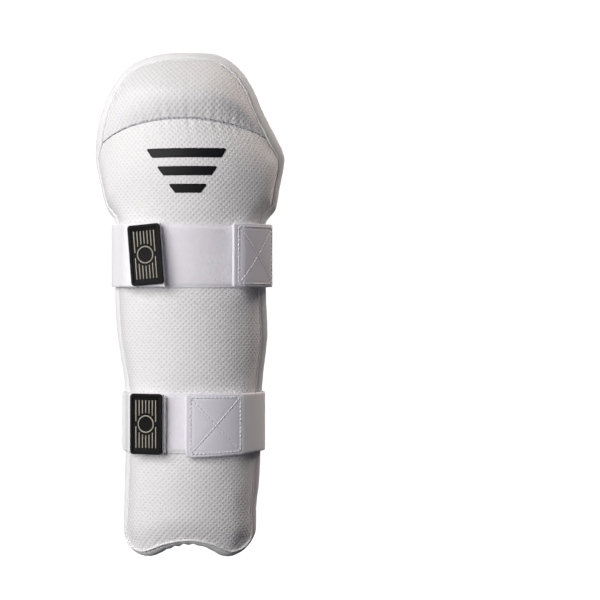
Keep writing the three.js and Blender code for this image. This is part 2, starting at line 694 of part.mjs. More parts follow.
// A moulded label lying flat: a plate with a raised border, upright ribs and a plain ring in the middle.
function labelGeometry() {
  const full = labelThickness + labelLip;
  const extruded = (shape, depth, curveSegments) =>
    toSolid(new THREE.ExtrudeGeometry(shape, { depth, curveSegments, bevelEnabled: false }));
  const border = roundedPlate(labelWidth - 1, labelHeight - 1, labelCorner - 0.5);
  border.holes.push(roundedPlate(labelWidth - 2 * labelBorder, labelHeight - 2 * labelBorder, labelCorner / 2));
  const ring = new THREE.Shape().absarc(0, 0, labelRingRadius, 0, 2 * Math.PI);
  ring.holes.push(new THREE.Path().absarc(0, 0, labelRingRadius - 1.5 * labelLine, 0, 2 * Math.PI));
  let solid = extruded(roundedPlate(labelWidth, labelHeight, labelCorner), labelThickness, 3)
    .add(extruded(border, full, 3))
    .add(extruded(ring, full, 8));
  const fieldWidth = labelWidth - 4 * labelBorder;
  const fieldHeight = labelHeight - 4 * labelBorder;
  const clear = labelRingRadius + 2 * labelLine;
  for (const x of range(labelRibs - 1).map((t) => mix(-fieldWidth / 2, fieldWidth / 2, t))) {
    const gap = Math.abs(x) < clear ? Math.sqrt(clear ** 2 - x ** 2) : 0;
    const length = fieldHeight / 2 - gap;
    for (const side of [1, -1]) {
      const rib = new THREE.BoxGeometry(labelLine, length, full).translate(x, side * (gap + length / 2), full / 2);
      solid = solid.add(toSolid(rib));
    }
  }
  const { vertProperties, triVerts } = solid.getMesh();
  const geometry = new THREE.BufferGeometry();
  geometry.setAttribute("position", new THREE.BufferAttribute(vertProperties, 3));
  geometry.setIndex(new THREE.BufferAttribute(triVerts, 1));
  return geometry;
}

// The guard is moved so that the shin's seat is the origin.
const seatHeight = (overallHeight * (straps[0].height + straps[1].height)) / 2;
guard.position.copy(raisedPoint(new THREE.Vector2(0, seatHeight), -linerThickness).negate());

export default guard;
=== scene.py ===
# %% [markdown]
# # A batter's leg guard
# The guard is a padded shield that a batter straps to the front of the leg. A puffed cup covers the knee, a
# long pad covers the shin, a padded rim is sewn round both, and two wide elastic straps hold it on. The
# solids of the frame give every size and place. This lesson dresses them in cloth, foam, webbing, pile and
# rubber, in metres, with +Z up and the front towards -Y.

import math

import bmesh
import bpy
import numpy as np
from mathutils import Matrix, Vector, noise
from mathutils.bvhtree import BVHTree
from mathutils.kdtree import KDTree


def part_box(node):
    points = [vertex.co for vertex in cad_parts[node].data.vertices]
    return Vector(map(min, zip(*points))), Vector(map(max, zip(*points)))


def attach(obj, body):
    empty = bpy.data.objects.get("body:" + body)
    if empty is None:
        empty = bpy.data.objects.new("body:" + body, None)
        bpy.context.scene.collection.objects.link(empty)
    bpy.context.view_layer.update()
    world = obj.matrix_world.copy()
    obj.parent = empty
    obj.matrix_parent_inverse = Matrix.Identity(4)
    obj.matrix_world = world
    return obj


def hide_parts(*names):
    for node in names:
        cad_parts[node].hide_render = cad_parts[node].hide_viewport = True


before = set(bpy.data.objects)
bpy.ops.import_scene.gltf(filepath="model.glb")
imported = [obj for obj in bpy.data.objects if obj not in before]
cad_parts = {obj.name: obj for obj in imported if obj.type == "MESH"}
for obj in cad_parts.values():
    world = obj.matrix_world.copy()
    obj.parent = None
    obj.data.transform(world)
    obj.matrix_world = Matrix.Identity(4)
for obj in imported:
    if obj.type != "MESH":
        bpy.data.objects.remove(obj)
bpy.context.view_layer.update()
print("solids in the frame:", len(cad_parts))

# %% [markdown]
# ## The camera
# The guard was photographed from straight in front with a long lens, a little above the middle of the shin.
# A lens of about 106 mm on a 36 mm sensor, 1.4 m away, sees it at that angle and size. The picture is
# square, 600 by 600 pixels.

# %% Camera
MM = 0.001
PICTURE_SIZE = 600
SENSOR_WIDTH = 36.0
PIXELS_PER_METRE = 1 / (0.7937 * MM)
CAMERA_PLACE = Vector((86.5, -1400, 30.85)) * MM


def make_camera():
    data = bpy.data.cameras.new("photo_camera")
    data.sensor_width = SENSOR_WIDTH
    data.lens = SENSOR_WIDTH * PIXELS_PER_METRE * abs(CAMERA_PLACE.y) / PICTURE_SIZE
    data.clip_end = 20
    camera = bpy.data.objects.new("photo_camera", data)
    camera.location = CAMERA_PLACE
    camera.rotation_euler = (math.pi / 2, 0, 0)
    bpy.context.scene.collection.objects.link(camera)
    bpy.context.scene.camera = camera
    return camera


camera = make_camera()
print("lens:", round(camera.data.lens, 1), "mm")

# %% [markdown]
# ## The form of the shield
# The cover, the liner and the rim are all cut flat and then bent round the shin, so each of them can be
# described on one flat pattern: how far round from the middle line, and how high. One function bends a
# point of the pattern round the leg. Its sizes are those of the solids: ten sections up the leg, each with
# its radius, its lean to one side and how far it stands forward.

# %% Sizes of the shield
OVERALL_HEIGHT = 400 * MM
KNEE_RADIUS = 84 * MM
WING_REACH = 93 * MM
KNEE_FORWARD = 10 * MM
KNEE_LEAN = 7 * MM
ARCH_RISE = 10 * MM
LINER_THICKNESS = 5 * MM
RIM_WIDTH = 8 * MM
RIM_PROUD = 2.6 * MM
STRAP_HEIGHTS = {"upper": 0.5975 * OVERALL_HEIGHT, "lower": 0.2658 * OVERALL_HEIGHT}

SECTIONS = [
    dict(height=0, radius=0.755, lean=0.2, forward=0.6),
    dict(height=0.1, radius=0.765, lean=0.1, forward=0.3),
    dict(height=0.26, radius=0.79, lean=0, forward=0),
    dict(height=0.43, radius=0.855, lean=0.05, forward=0),
    dict(height=0.6, radius=0.89, lean=0.1, forward=0.25),
    dict(height=0.7, radius=0.94, lean=0.18, forward=0.65),
    dict(height=0.8, radius=0.99, lean=0.4, forward=1),
    dict(height=0.88, radius=1, lean=0.95, forward=0.8),
    dict(height=0.95, radius=1, lean=0.95, forward=0),
    dict(height=1, radius=1, lean=0.7, forward=-0.9),
]


# %% Bend the pattern round the leg
def section_curve(column, size):
    """A smooth curve through one column of the sections, as a function of height."""
    heights = np.array([row["height"] for row in SECTIONS]) * OVERALL_HEIGHT
    values = np.array([row[column] for row in SECTIONS]) * size

    def curve(z):
        z = np.clip(z, 0, OVERALL_HEIGHT)
        high = np.clip(np.searchsorted(heights, z, side="right"), 1, len(heights) - 1)
        low = high - 1
        before = np.where(low > 0, low - 1, high)
        after = np.where(high < len(heights) - 1, high + 1, low)
        step = heights[high] - heights[low]
        p = (z - heights[low]) / step
        wb = step / 2 / (heights[low] - heights[before])
        wa = step / 2 / (heights[after] - heights[high])
        return (
            (-wb * p**3 + 2 * wb * p**2 - wb * p) * values[before]
            + ((1 + wb) * p**3 - (1.5 + 2 * wb) * p**2 + (wb - 0.5) * p + 1) * values[low]
            + (-(1 + wa) * p**3 + (1.5 + wa) * p**2 + 0.5 * p) * values[high]
            + (wa * p**3 - wa * p**2) * values[after]
        )

    return curve


radius_at = section_curve("radius", KNEE_RADIUS)
lean_at = section_curve("lean", -KNEE_LEAN)
front_at = section_curve("forward", -KNEE_FORWARD)


def face_point(across, z):
    radius = radius_at(z)
    turn = across / radius
    return np.stack([lean_at(z) + radius * np.sin(turn), front_at(z) + radius * (1 - np.cos(turn)), z], -1)


def face_normal(across, z, step=0.5 * MM):
    sideways = face_point(across + step, z) - face_point(across - step, z)
    upwards = face_point(across, z + step) - face_point(across, z - step)
    normal = np.cross(sideways, upwards)
    return normal / np.linalg.norm(normal, axis=-1, keepdims=True)


SEAT = np.zeros(3)


def raised(flat, offset):
    """Places on the liner's outer face for points of the flat pattern, lifted outwards by an offset."""
    flat = np.asarray(flat, float)
    lift = np.asarray(offset, float)[..., None] * face_normal(flat[..., 0], flat[..., 1])
    return face_point(flat[..., 0], flat[..., 1]) + lift - SEAT


SEAT = raised([0, sum(STRAP_HEIGHTS.values()) / 2], -LINER_THICKNESS)
print("seat above the lobes:", round(SEAT[2] / MM, 1), "mm")

# %% [markdown]
# ## The outline of the pattern
# The edge of the guard is drawn flat too. Nineteen named points up each side and the arch over the ankle
# make one smooth closed curve. The rim is narrower round the arch and over the cup, so each point also says
# how wide it is on the left and on the right.

# %% Outline of the pattern
EDGE = [
    dict(name="lobe", left=0.41, right=0.36, height=0, left_rim=0.5, right_rim=0.5),
    dict(name="corner", left=0.595, right=0.53, height=0.011, left_rim=0.55, right_rim=0.55),
    dict(name="heel", left=0.665, right=0.62, height=0.0325, left_rim=0.7, right_rim=0.75),
    dict(name="ankle", left=0.675, right=0.635, height=0.09, left_rim=0.85, right_rim=0.95),
    dict(name="flap", left=0.67, right=0.665, height=0.14, left_rim=0.95, right_rim=1.05),
    dict(name="lower strap", left=0.66, right=0.68, height=0.25, left_rim=1, right_rim=1.15),
    dict(name="strap top", left=0.67, right=0.69, height=0.333, left_rim=1, right_rim=1.2),
    dict(name="shin", left=0.76, right=0.75, height=0.43, left_rim=1, right_rim=1.25),
    dict(name="calf", left=0.785, right=0.73, height=0.515, left_rim=1, right_rim=1.25),
    dict(name="upper strap", left=0.745, right=0.715, height=0.645, left_rim=1, right_rim=1.2),
    dict(name="waist", left=0.775, right=0.76, height=0.664, left_rim=1, right_rim=1.15),
    dict(name="wing root", left=0.885, right=0.865, height=0.684, left_rim=1, right_rim=1.2),
    dict(name="wing foot", left=0.955, right=0.92, height=0.72, left_rim=1, right_rim=1.3),
    dict(name="wing", left=1.02, right=1.01, height=0.795, left_rim=1, right_rim=1.45),
    dict(name="hip", left=0.935, right=0.895, height=0.84, left_rim=1.4, right_rim=1.6),
    dict(name="cup side", left=0.825, right=0.775, height=0.88, left_rim=1.2, right_rim=1.35),
    dict(name="cup shoulder", left=0.65, right=0.625, height=0.937, left_rim=0.9, right_rim=1.05),
    dict(name="cup corner", left=0.5, right=0.475, height=0.973, left_rim=0.85, right_rim=0.9),
    dict(name="crown", left=0.245, right=0.285, height=0.996, left_rim=0.8, right_rim=0.8),
]
STRETCH_STEPS = 12
ARCH_SIDE = 0.42  # the arch's two side points, as a share of a lobe's distance from the middle
ARCH_SIDE_RISE = 0.75  # and as a share of the arch's rise


def spline_stretch(p0, p1, p2, p3, steps):
    """Points of a centripetal spline from the second of four controls up to the third."""
    d0, d1, d2 = (math.sqrt(np.linalg.norm(b - a)) for a, b in ((p0, p1), (p1, p2), (p2, p3)))
    start = ((p1 - p0) / d0 - (p2 - p0) / (d0 + d1) + (p2 - p1) / d1) * d1
    end = ((p2 - p1) / d1 - (p3 - p1) / (d1 + d2) + (p3 - p2) / d2) * d1
    t = (np.arange(steps) / steps)[:, None]
    square, cube = t**2, t**3
    return (
        (2 * cube - 3 * square + 1) * p1
        + (cube - 2 * square + t) * start
        + (3 * square - 2 * cube) * p2
        + (cube - square) * end
    )


def smooth_loop(controls, steps):
    """A closed spline through flat points, with a set number of points to each stretch."""
    count = len(controls)
    fours = ([controls[(i + k) % count] for k in (-1, 0, 1, 2)] for i in range(count))
    return np.concatenate([spline_stretch(*four, steps) for four in fours])


def outline_controls():
    right = [np.array([row["right"] * WING_REACH, row["height"] * OVERALL_HEIGHT]) for row in EDGE]
    left = [np.array([-row["left"] * WING_REACH, row["height"] * OVERALL_HEIGHT]) for row in EDGE]
    arch = [np.array([side[0][0] * ARCH_SIDE, ARCH_RISE * ARCH_SIDE_RISE]) for side in (left, right)]
    top = np.array([0, OVERALL_HEIGHT])
    return [*right, top, *left[::-1], arch[0], np.array([0, ARCH_RISE]), arch[1]]


outline = smooth_loop(outline_controls(), STRETCH_STEPS)
names = [row["name"] for row in EDGE]
right_shares = [row["right_rim"] for row in EDGE]
left_shares = [row["left_rim"] for row in EDGE]
rim_shares = [*right_shares, left_shares[-1], *left_shares[::-1], *left_shares[:1] * 3]
rim_widths = RIM_WIDTH * np.interp(
    np.arange(len(outline)) / STRETCH_STEPS, np.arange(len(rim_shares) + 1), [*rim_shares, rim_shares[0]]
)
along = np.roll(outline, -1, 0) - np.roll(outline, 1, 0)
inwards = np.stack([-along[:, 1], along[:, 0]], -1) / np.linalg.norm(along, axis=1, keepdims=True)
print("outline:", len(outline), "points,", round(np.linalg.norm(along, axis=1).sum() / 2, 3), "m round")


# %% Named stretches of the outline
def right_index(name):
    return names.index(name) * STRETCH_STEPS


def left_index(name):
    return 2 * len(EDGE) * STRETCH_STEPS - right_index(name)


def inside_rim(margin):
    return outline + inwards * (rim_widths + margin)[:, None]


def stretch(points, start, end):
    steps = (end - start) % len(points)
    return points[(start + np.arange(steps + 1)) % len(points)]


def by_share(points):
    """Walks a list of flat points by its number, from 0 to 1."""
    places = np.linspace(0, 1, len(points))
    return lambda t: np.stack([np.interp(t, places, points[:, 0]), np.interp(t, places, points[:, 1])], -1)


def coons_patch(bottom, top, left, right):
    """A four-sided patch of the pattern between its four edges."""

    def place(u, v):
        u1 = np.asarray(u)[..., None]
        v1 = np.asarray(v)[..., None]
        edges = bottom(u) * (1 - v1) + top(u) * v1 + left(v) * (1 - u1) + right(v) * u1
        low = bottom(np.zeros_like(u)) * (1 - u1) + bottom(np.ones_like(u)) * u1
        high = top(np.zeros_like(u)) * (1 - u1) + top(np.ones_like(u)) * u1
        return edges - low * (1 - v1) - high * v1

    return place


# %% [markdown]
# ## Working by hand
# Four small helpers stand in for the mouse. One deselects everything and picks one object. One turns faces
# outwards. One starts a soft piece as a flat grid that is extruded into a block, one unit deep, ready to be
# bent to its place. One applies modifiers.

# %% Helpers for modelling
def pick(*objects):
    if bpy.context.object and bpy.context.object.mode != "OBJECT":
        bpy.ops.object.mode_set(mode="OBJECT")
    bpy.ops.object.select_all(action="DESELECT")
    for item in objects:
        item.select_set(True)
    bpy.context.view_layer.objects.active = objects[0]


def face_outwards(piece):
    pick(piece)
    bpy.ops.object.mode_set(mode="EDIT")
    bpy.ops.mesh.select_all(action="SELECT")
    bpy.ops.mesh.normals_make_consistent(inside=False)
    bpy.ops.object.mode_set(mode="OBJECT")


def flat_block(name, columns, rows):
    """A grid from 0 to 1 across and up, extruded from 0 to 1, whose corners say where they belong."""
    bpy.ops.object.select_all(action="DESELECT")
    bpy.ops.mesh.primitive_grid_add(x_subdivisions=columns, y_subdivisions=rows, size=1, location=(0, 0, 0))
    block = bpy.context.object
    block.name = block.data.name = name
    bpy.ops.object.mode_set(mode="EDIT")
    bpy.ops.mesh.select_all(action="SELECT")
    bpy.ops.mesh.extrude_region_move(TRANSFORM_OT_translate={"value": (0, 0, 1)})
    bpy.ops.object.mode_set(mode="OBJECT")
    face_outwards(block)
    return block


def corners_of(piece):
    places = np.empty(len(piece.data.vertices) * 3, np.float32)
    piece.data.vertices.foreach_get("co", places)
    return places.reshape(-1, 3).astype(float)


def put_corners(piece, places):
    piece.data.vertices.foreach_set("co", np.ascontiguousarray(places, np.float32).ravel())
    piece.data.update()


def put_pattern(piece, flat):
    """Keeps each corner's place on the flat pattern, in metres, as the piece's UV map."""
    layer = piece.data.uv_layers.active or piece.data.uv_layers.new()
    layer.name = "pattern"
    owners = np.empty(len(piece.data.loops), np.int32)
    piece.data.loops.foreach_get("vertex_index", owners)
    layer.data.foreach_set("uv", np.asarray(flat, np.float32)[owners].ravel())


def add_modifier(piece, kind, **settings):
    modifier = piece.modifiers.new(kind.lower(), kind)
    for key, value in settings.items():
        setattr(modifier, key, value)
    pick(piece)
    bpy.ops.object.modifier_apply(modifier=modifier.name)


def smooth_shading(piece, angle=math.pi / 5):
    pick(piece)
    bpy.ops.object.shade_smooth_by_angle(angle=angle)


def on_guard(piece, material, replaced=()):
    """Dresses a finished piece, and says what it rides on and what it stands for."""
    piece.data.materials.clear()
    piece.data.materials.append(material)
    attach(piece, "root")
    if replaced:
        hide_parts(*replaced)
    print(piece.name, len(piece.data.vertices), "corners")


# %% [markdown]
# ## Helpers for finishes
# Every finish starts from the real material. Colours are written as on a colour card, in sRGB, and turned
# to linear light by one function. One more function adds a node, sets it and links it.

# %% Helpers for materials
def colour(code):
    """An sRGB hex value as linear red, green, blue and alpha."""
    parts = [int(code[i : i + 2], 16) / 255 for i in (1, 3, 5)]
    return [c / 12.92 if c <= 0.04045 else ((c + 0.055) / 1.055) ** 2.4 for c in parts] + [1]


def new_material(name):
    material = bpy.data.materials.new(name)
    material.use_nodes = True
    material.node_tree.nodes.clear()
    return material


def add(material, kind, inputs=None, **settings):
    node = material.node_tree.nodes.new(kind)
    for key, value in settings.items():
        setattr(node, key, value)
    for socket, value in (inputs or {}).items():
        if isinstance(value, bpy.types.NodeSocket):
            material.node_tree.links.new(value, node.inputs[socket])
        else:
            node.inputs[socket].default_value = value
    return node


def maths(material, operation, first, second=0.0, third=0.0):
    node = add(material, "ShaderNodeMath", {0: first, 1: second, 2: third}, operation=operation)
    return node.outputs[0]


def vector_maths(material, operation, first, second=(0, 0, 0)):
    node = add(material, "ShaderNodeVectorMath", {0: first, 1: second}, operation=operation)
    return node.outputs["Value" if operation == "LENGTH" else "Vector"]


def surface(material, inputs):
    """The surface shader of a material, with its constants on its own sockets."""
    shader = add(material, "ShaderNodeBsdfPrincipled", inputs)
    add(material, "ShaderNodeOutputMaterial", {"Surface": shader.outputs[0]})
    return material


def blend_colours(material, share, first, second):
    node = add(material, "ShaderNodeMix", {0: share, 6: first, 7: second}, data_type="RGBA")
    return node.outputs[2]


def pattern_place(material):
    return add(material, "ShaderNodeUVMap", uv_map="pattern").outputs[0]


def object_place(material):
    return add(material, "ShaderNodeTexCoord").outputs["Object"]


def fine_noise(material, place, size, detail=2.0, roughness=0.5):
    """Cloudy noise whose blotches are about this many metres across."""
    node = add(
        material,
        "ShaderNodeTexNoise",
        {"Vector": place, "Scale": 1 / size, "Detail": detail, "Roughness": roughness},
    )
    return node.outputs["Fac"]


# %% [markdown]
# ## Finish: polyester mesh cover
# The cover is a warp-knitted polyester mesh, white, with rows of tiny holes that stand like the dots of a
# five on a die. The knit scatters light softly, so it is rough and has a little sheen. The holes are 4.0 mm
# apart across and 4.3 mm apart upwards, read on the flat pattern, so that they follow the cloth round the
# leg. A real hole is about 0.6 mm wide, and its soft dimple is drawn 2.5 mm wide so that it shows at this
# distance. Each dimple is also painted a little greyer than the cloth, as painted shade in the hole.

# %% Polyester mesh
HOLE_SPACING = (4.0 * MM, 4.3 * MM, 1.0)
HOLE_RADIUS = 0.15 * MM
HOLE_EDGE = 1.3 * MM
KNIT_PITCH = 0.8 * MM


def hole_distance(material, place, shift):
    """How far a point of the pattern is from the nearest hole of one of the two sets of rows, in metres."""
    cells = vector_maths(material, "ADD", vector_maths(material, "DIVIDE", place, HOLE_SPACING), shift)
    within = vector_maths(material, "SUBTRACT", vector_maths(material, "FRACTION", cells), (0.5, 0.5, 0))
    return vector_maths(material, "LENGTH", vector_maths(material, "MULTIPLY", within, HOLE_SPACING))


def mesh_holes(material, place):
    """0 in the middle of a hole and 1 on the cloth between."""
    first = hole_distance(material, place, (0, 0, 0))
    second = hole_distance(material, place, (0.5, 0.5, 0))
    nearest = maths(material, "MINIMUM", first, second)
    node = add(
        material,
        "ShaderNodeMapRange",
        {"Value": nearest, "From Min": HOLE_RADIUS, "From Max": HOLE_EDGE},
        interpolation_type="SMOOTHSTEP",
    )
    return node.outputs[0]


def polyester_mesh():
    material = new_material("polyester_mesh")
    place = pattern_place(material)
    cloth = mesh_holes(material, place)
    knit = fine_noise(material, place, KNIT_PITCH, detail=1)
    tint = blend_colours(material, fine_noise(material, place, 60 * MM), colour("#F1F1F2"), colour("#EBEAEC"))
    # Painted shade: the holes are coloured a little greyer than the cloth, for the shade that falls into
    # them.
    shade = blend_colours(material, cloth, colour("#E3E1E5"), tint)
    height = maths(material, "ADD", cloth, maths(material, "MULTIPLY", knit, 0.35))
    bump = add(material, "ShaderNodeBump", {"Height": height, "Strength": 0.8, "Distance": 0.29 * MM})
    return surface(
        material,
        {
            "Base Color": shade,
            "Roughness": 0.78,
            "IOR": 1.5,
            "Specular IOR Level": 0.3,
            "Sheen Weight": 0.12,
            "Sheen Roughness": 0.5,
            "Normal": bump.outputs[0],
        },
    )


mesh_material = polyester_mesh()
print("finish:", mesh_material.name)

# %% [markdown]
# ## Finish: brushed knit of the rim and the piping
# The rim is wrapped in a plain brushed knit without holes, a little smoother than the mesh. Its loops are
# about 0.7 mm, drawn 0.9 mm wide so that they show.

# %% Brushed knit
def brushed_knit(name, base, loop_size, strength):
    material = new_material(name)
    place = object_place(material)
    loops = fine_noise(material, place, loop_size, detail=3, roughness=0.6)
    soft = fine_noise(material, place, 45 * MM, detail=1)
    shade = blend_colours(material, soft, colour(base[0]), colour(base[1]))
    bump = add(material, "ShaderNodeBump", {"Height": loops, "Strength": strength, "Distance": 0.3 * MM})
    return surface(
        material,
        {
            "Base Color": shade,
            "Roughness": 0.7,
            "IOR": 1.5,
            "Specular IOR Level": 0.3,
            "Sheen Weight": 0.15,
            "Sheen Roughness": 0.45,
            "Normal": bump.outputs[0],
        },
    )


rim_material = brushed_knit("brushed_knit", ("#F3F3F4", "#EDEDEF"), 0.9 * MM, 0.35)
piping_material = brushed_knit("piping_knit", ("#F4F4F5", "#EFEFF1"), 0.6 * MM, 0.2)
liner_material = brushed_knit("liner_knit", ("#E6E6EA", "#DDDDE2"), 1.1 * MM, 0.6)
print("finish:", rim_material.name, piping_material.name, liner_material.name)

# %% [markdown]
# ## The two pads
# Each pad is a bag of mesh cloth filled with foam. It could be carved from a block, but cloth that is cut
# flat and sewn down at its border gives the right crowned form: thin at the seam, full in the middle. So
# each pad starts as a flat grid block, which is bent to its place on the pattern and round the leg. Towards
# the ankle the shin pad gets thinner, so its lower end leans away from the light.

# %% Where the pads are sewn
PAD_MARGIN = 0.6 * MM
BED_GAP = 0.7 * MM
PAD_EDGE = 2 * MM
SHIN_THICKNESS = 9 * MM
SHIN_ROUND = 19 * MM
SHIN_ARCH_ROUND = 20 * MM
LOWER_END = 60 * MM
LOWER_END_THINNING = 0.4
SHIN_CREASE_ROUND = 42 * MM
KNEE_THICKNESS = 13 * MM
KNEE_ROUND = 38 * MM
KNEE_CREASE_ROUND = {"left": 40 * MM, "middle": 20 * MM, "right": 18 * MM}
CREASE_RISE = 15 * MM
CREASE_GAP = 1 * MM
STEPS_ABOVE_HIP = 3  # on the right the crease meets the edge this many points of the outline higher

pad_outline = inside_rim(PAD_MARGIN)
CREASE_START = left_index("hip")
CREASE_END = right_index("hip") + STEPS_ABOVE_HIP
left_hip = pad_outline[CREASE_START]
right_hip = pad_outline[CREASE_END]


def crease(shift):
    """The seam between the two pads, from the left hip to the right one, moved up by a shift."""

    def place(u):
        u = np.asarray(u, float)[..., None]
        rise = CREASE_RISE * (1 - (2 * u - 1) ** 2) + shift
        return left_hip * (1 - u) + right_hip * u + rise * np.array([0, 1])

    return place


shin_top = crease(-CREASE_GAP)
shin_left = stretch(pad_outline, CREASE_START, left_index("corner"))[::-1].copy()
shin_right = stretch(pad_outline, right_index("corner"), CREASE_END).copy()
shin_left[-1] = shin_top(0.0)
shin_right[-1] = shin_top(1.0)
shin_bottom = by_share(stretch(pad_outline, left_index("corner"), right_index("corner")))
shin_patch = coons_patch(shin_bottom, shin_top, by_share(shin_left), by_share(shin_right))
knee_bottom = crease(0)
knee_top = by_share(stretch(pad_outline, CREASE_END, CREASE_START)[::-1])
knee_patch = coons_patch(
    knee_bottom,
    knee_top,
    lambda v: np.broadcast_to(left_hip, (*np.shape(v), 2)),
    lambda v: np.broadcast_to(right_hip, (*np.shape(v), 2)),
)
print("crease:", round(float(shin_top(0.5)[1]) / MM, 1), "mm above the lobes")


# %% How thick a pad is
def border_of(patch, edges, count=160):
    """Points along some of a patch's four edges."""
    share = np.linspace(0, 1, count)
    zeros = np.zeros(count)
    sides = {
        "bottom": (share, zeros),
        "right": (zeros + 1, share),
        "top": (share, zeros + 1),
        "left": (zeros, share),
    }
    return np.concatenate([patch(*sides[edge]) for edge in edges])


def distance_to(points, flat):
    """How far each flat place is from the nearest of some points."""
    found = np.full(len(flat), np.inf)
    for point in points:
        found = np.minimum(found, np.hypot(*(flat - point).T))
    return found


def rounded_rise(border, flat, rounding):
    """0 at a seam and 1 a rounding's length away from it."""
    return np.sin(math.pi / 2 * np.minimum(distance_to(border, flat) / rounding, 1))


shin_sides = border_of(shin_patch, ["right", "left"])
shin_arch = border_of(shin_patch, ["bottom"])
shin_crease = border_of(shin_patch, ["top"])
knee_sides = border_of(knee_patch, ["top"])
knee_crease = border_of(knee_patch, ["bottom"])


def shin_depth(flat):
    rise = rounded_rise(shin_sides, flat, SHIN_ROUND) * rounded_rise(shin_crease, flat, SHIN_CREASE_ROUND)
    rise *= rounded_rise(shin_arch, flat, SHIN_ARCH_ROUND)
    rise *= 1 - LOWER_END_THINNING * np.clip(1 - flat[:, 1] / LOWER_END, 0, 1) ** 2
    return PAD_EDGE + (SHIN_THICKNESS - PAD_EDGE) * rise


def knee_depth(flat):
    rounding = np.interp(flat[:, 0], [left_hip[0], 0, right_hip[0]], list(KNEE_CREASE_ROUND.values()))
    rise = rounded_rise(knee_sides, flat, KNEE_ROUND) * rounded_rise(knee_crease, flat, rounding)
    return PAD_EDGE + (KNEE_THICKNESS - PAD_EDGE) * rise


# %% [markdown]
# ## Letting a pad swell
# Foam under a sewn cover pushes the cloth out evenly until the seams hold it. Blender's cloth with a little
# pressure does the same: the border and the underside are pinned, and the front swells for twenty frames.
# How far a point may move is capped, and under a strap it hardly moves, because there the strap presses the
# pad flat. The cup over the knee is domed already and its cloth is tighter, so it takes more pressure.

# %% Swell a pad
MERGE_DISTANCE = 0.01 * MM
SWELL_FRAMES = 20
SHIN_PRESSURE = 4.0
KNEE_PRESSURE = 30.0
SWELL_CAP = 1.1 * MM
STRAP_PRESS = 29 * MM
STRAP_FADE = 8 * MM


def strap_hold(z):
    """1 where a strap presses on the pad, fading to 0 above and below it."""
    hold = np.zeros_like(z)
    for height in STRAP_HEIGHTS.values():
        hold = np.maximum(hold, np.clip((STRAP_PRESS + STRAP_FADE - np.abs(z - height)) / STRAP_FADE, 0, 1))
    return hold


def cloth_bag(pad, pinned, pressure):
    """A copy of a pad whose corners are merged where they meet, because cloth needs edges with a length."""
    bag = bpy.data.objects.new("cloth_bag", pad.data.copy())
    bpy.context.scene.collection.objects.link(bag)
    group = bag.vertex_groups.new(name="sewn")
    group.add([int(i) for i in np.flatnonzero(pinned)], 1.0, "REPLACE")
    pick(bag)
    bpy.ops.object.mode_set(mode="EDIT")
    bpy.ops.mesh.select_all(action="SELECT")
    bpy.ops.mesh.remove_doubles(threshold=MERGE_DISTANCE)
    bpy.ops.object.mode_set(mode="OBJECT")
    cloth = bag.modifiers.new("swelling", "CLOTH")
    cloth.settings.vertex_group_mass = group.name
    cloth.settings.use_pressure = True
    cloth.settings.uniform_pressure_force = pressure
    cloth.settings.effector_weights.gravity = 0
    cloth.point_cache.frame_start = 1
    cloth.point_cache.frame_end = SWELL_FRAMES
    return bag


def swell(pad, pinned, flat, pressure):
    """Lets cloth pressure push out what isn't pinned, and caps how far each corner moves."""
    bag = cloth_bag(pad, pinned, pressure)
    before = corners_of(bag)
    for number in range(1, SWELL_FRAMES + 1):
        bpy.context.scene.frame_set(number)
    shown = bag.evaluated_get(bpy.context.evaluated_depsgraph_get())
    after = np.array([v.co for v in shown.data.vertices], float)
    finder = KDTree(len(before))
    for number, place in enumerate(before):
        finder.insert(place, number)
    finder.balance()
    flat_form = corners_of(pad)
    moved = (after - before)[[finder.find(place)[1] for place in flat_form]]
    length = np.linalg.norm(moved, axis=1, keepdims=True)
    allowed = SWELL_CAP * np.tanh(length / SWELL_CAP) * (1 - strap_hold(flat[:, 1]))[:, None]
    bpy.data.objects.remove(bag)
    bpy.context.scene.frame_set(1)
    put_corners(pad, flat_form + moved * allowed / np.maximum(length, 1e-9))
    print(pad.name, "swelled by up to", round(float(allowed.max()) / MM, 2), "mm")


# %% [markdown]
# ## Sewing marks on the pads
# Thread pulls cloth into small puckers: short ripples that run away from a seam and fade within a few
# millimetres. They are real dents here, made by moving the corners of the fine mesh, and slow uneven waves
# keep the foam from looking machined.

# %% Puckers and slow waves
PUCKER_PITCH = 6.5 * MM
PUCKER_REACH = 7 * MM
CREASE_PUCKER = 0.45 * MM
SEAM_PUCKER = 0.16 * MM
WAVE_HEIGHT = 0.35 * MM
WAVE_SIZE = 34 * MM
RIPPLE_SHARES = (0.6, 0.4)
RIPPLE_RATE = 0.63  # the second wave's rate, as a share of the first one's
RIPPLE_SHIFT = 1.7  # how far the second wave is out of step, in radians


def ripples(length, pitch):
    """An uneven row of ripples along a seam, between -1 and 1: two waves that are out of step."""
    turn = 2 * math.pi / pitch
    first, second = RIPPLE_SHARES
    return first * np.sin(turn * length) + second * np.sin(turn * RIPPLE_RATE * length + RIPPLE_SHIFT)


def slow_waves(places, size):
    return np.array([noise.noise(Vector(place) / size) for place in places])


def sewing_marks(flat, places, border):
    """How far the cloth stands out or in at each corner, in metres."""
    middle = np.interp(flat[:, 0], [left_hip[0], right_hip[0]], [0, 1])
    to_crease = np.abs(flat[:, 1] - crease(-CREASE_GAP / 2)(middle)[:, 1])
    to_border = distance_to(border, flat)
    at_crease = CREASE_PUCKER * ripples(flat[:, 0], PUCKER_PITCH) * np.exp(-to_crease / PUCKER_REACH)
    round_border = SEAM_PUCKER * ripples(flat[:, 1] - flat[:, 0], PUCKER_PITCH)
    round_border *= np.exp(-to_border / PUCKER_REACH)
    waves = WAVE_HEIGHT * slow_waves(places, WAVE_SIZE) * np.clip(to_border / SHIN_ROUND, 0, 1)
    return at_crease + round_border + waves * (1 - strap_hold(flat[:, 1]))


# %% Make a pad
PAD_COLUMNS = 56
SHIN_ROWS = 116
KNEE_ROWS = 36


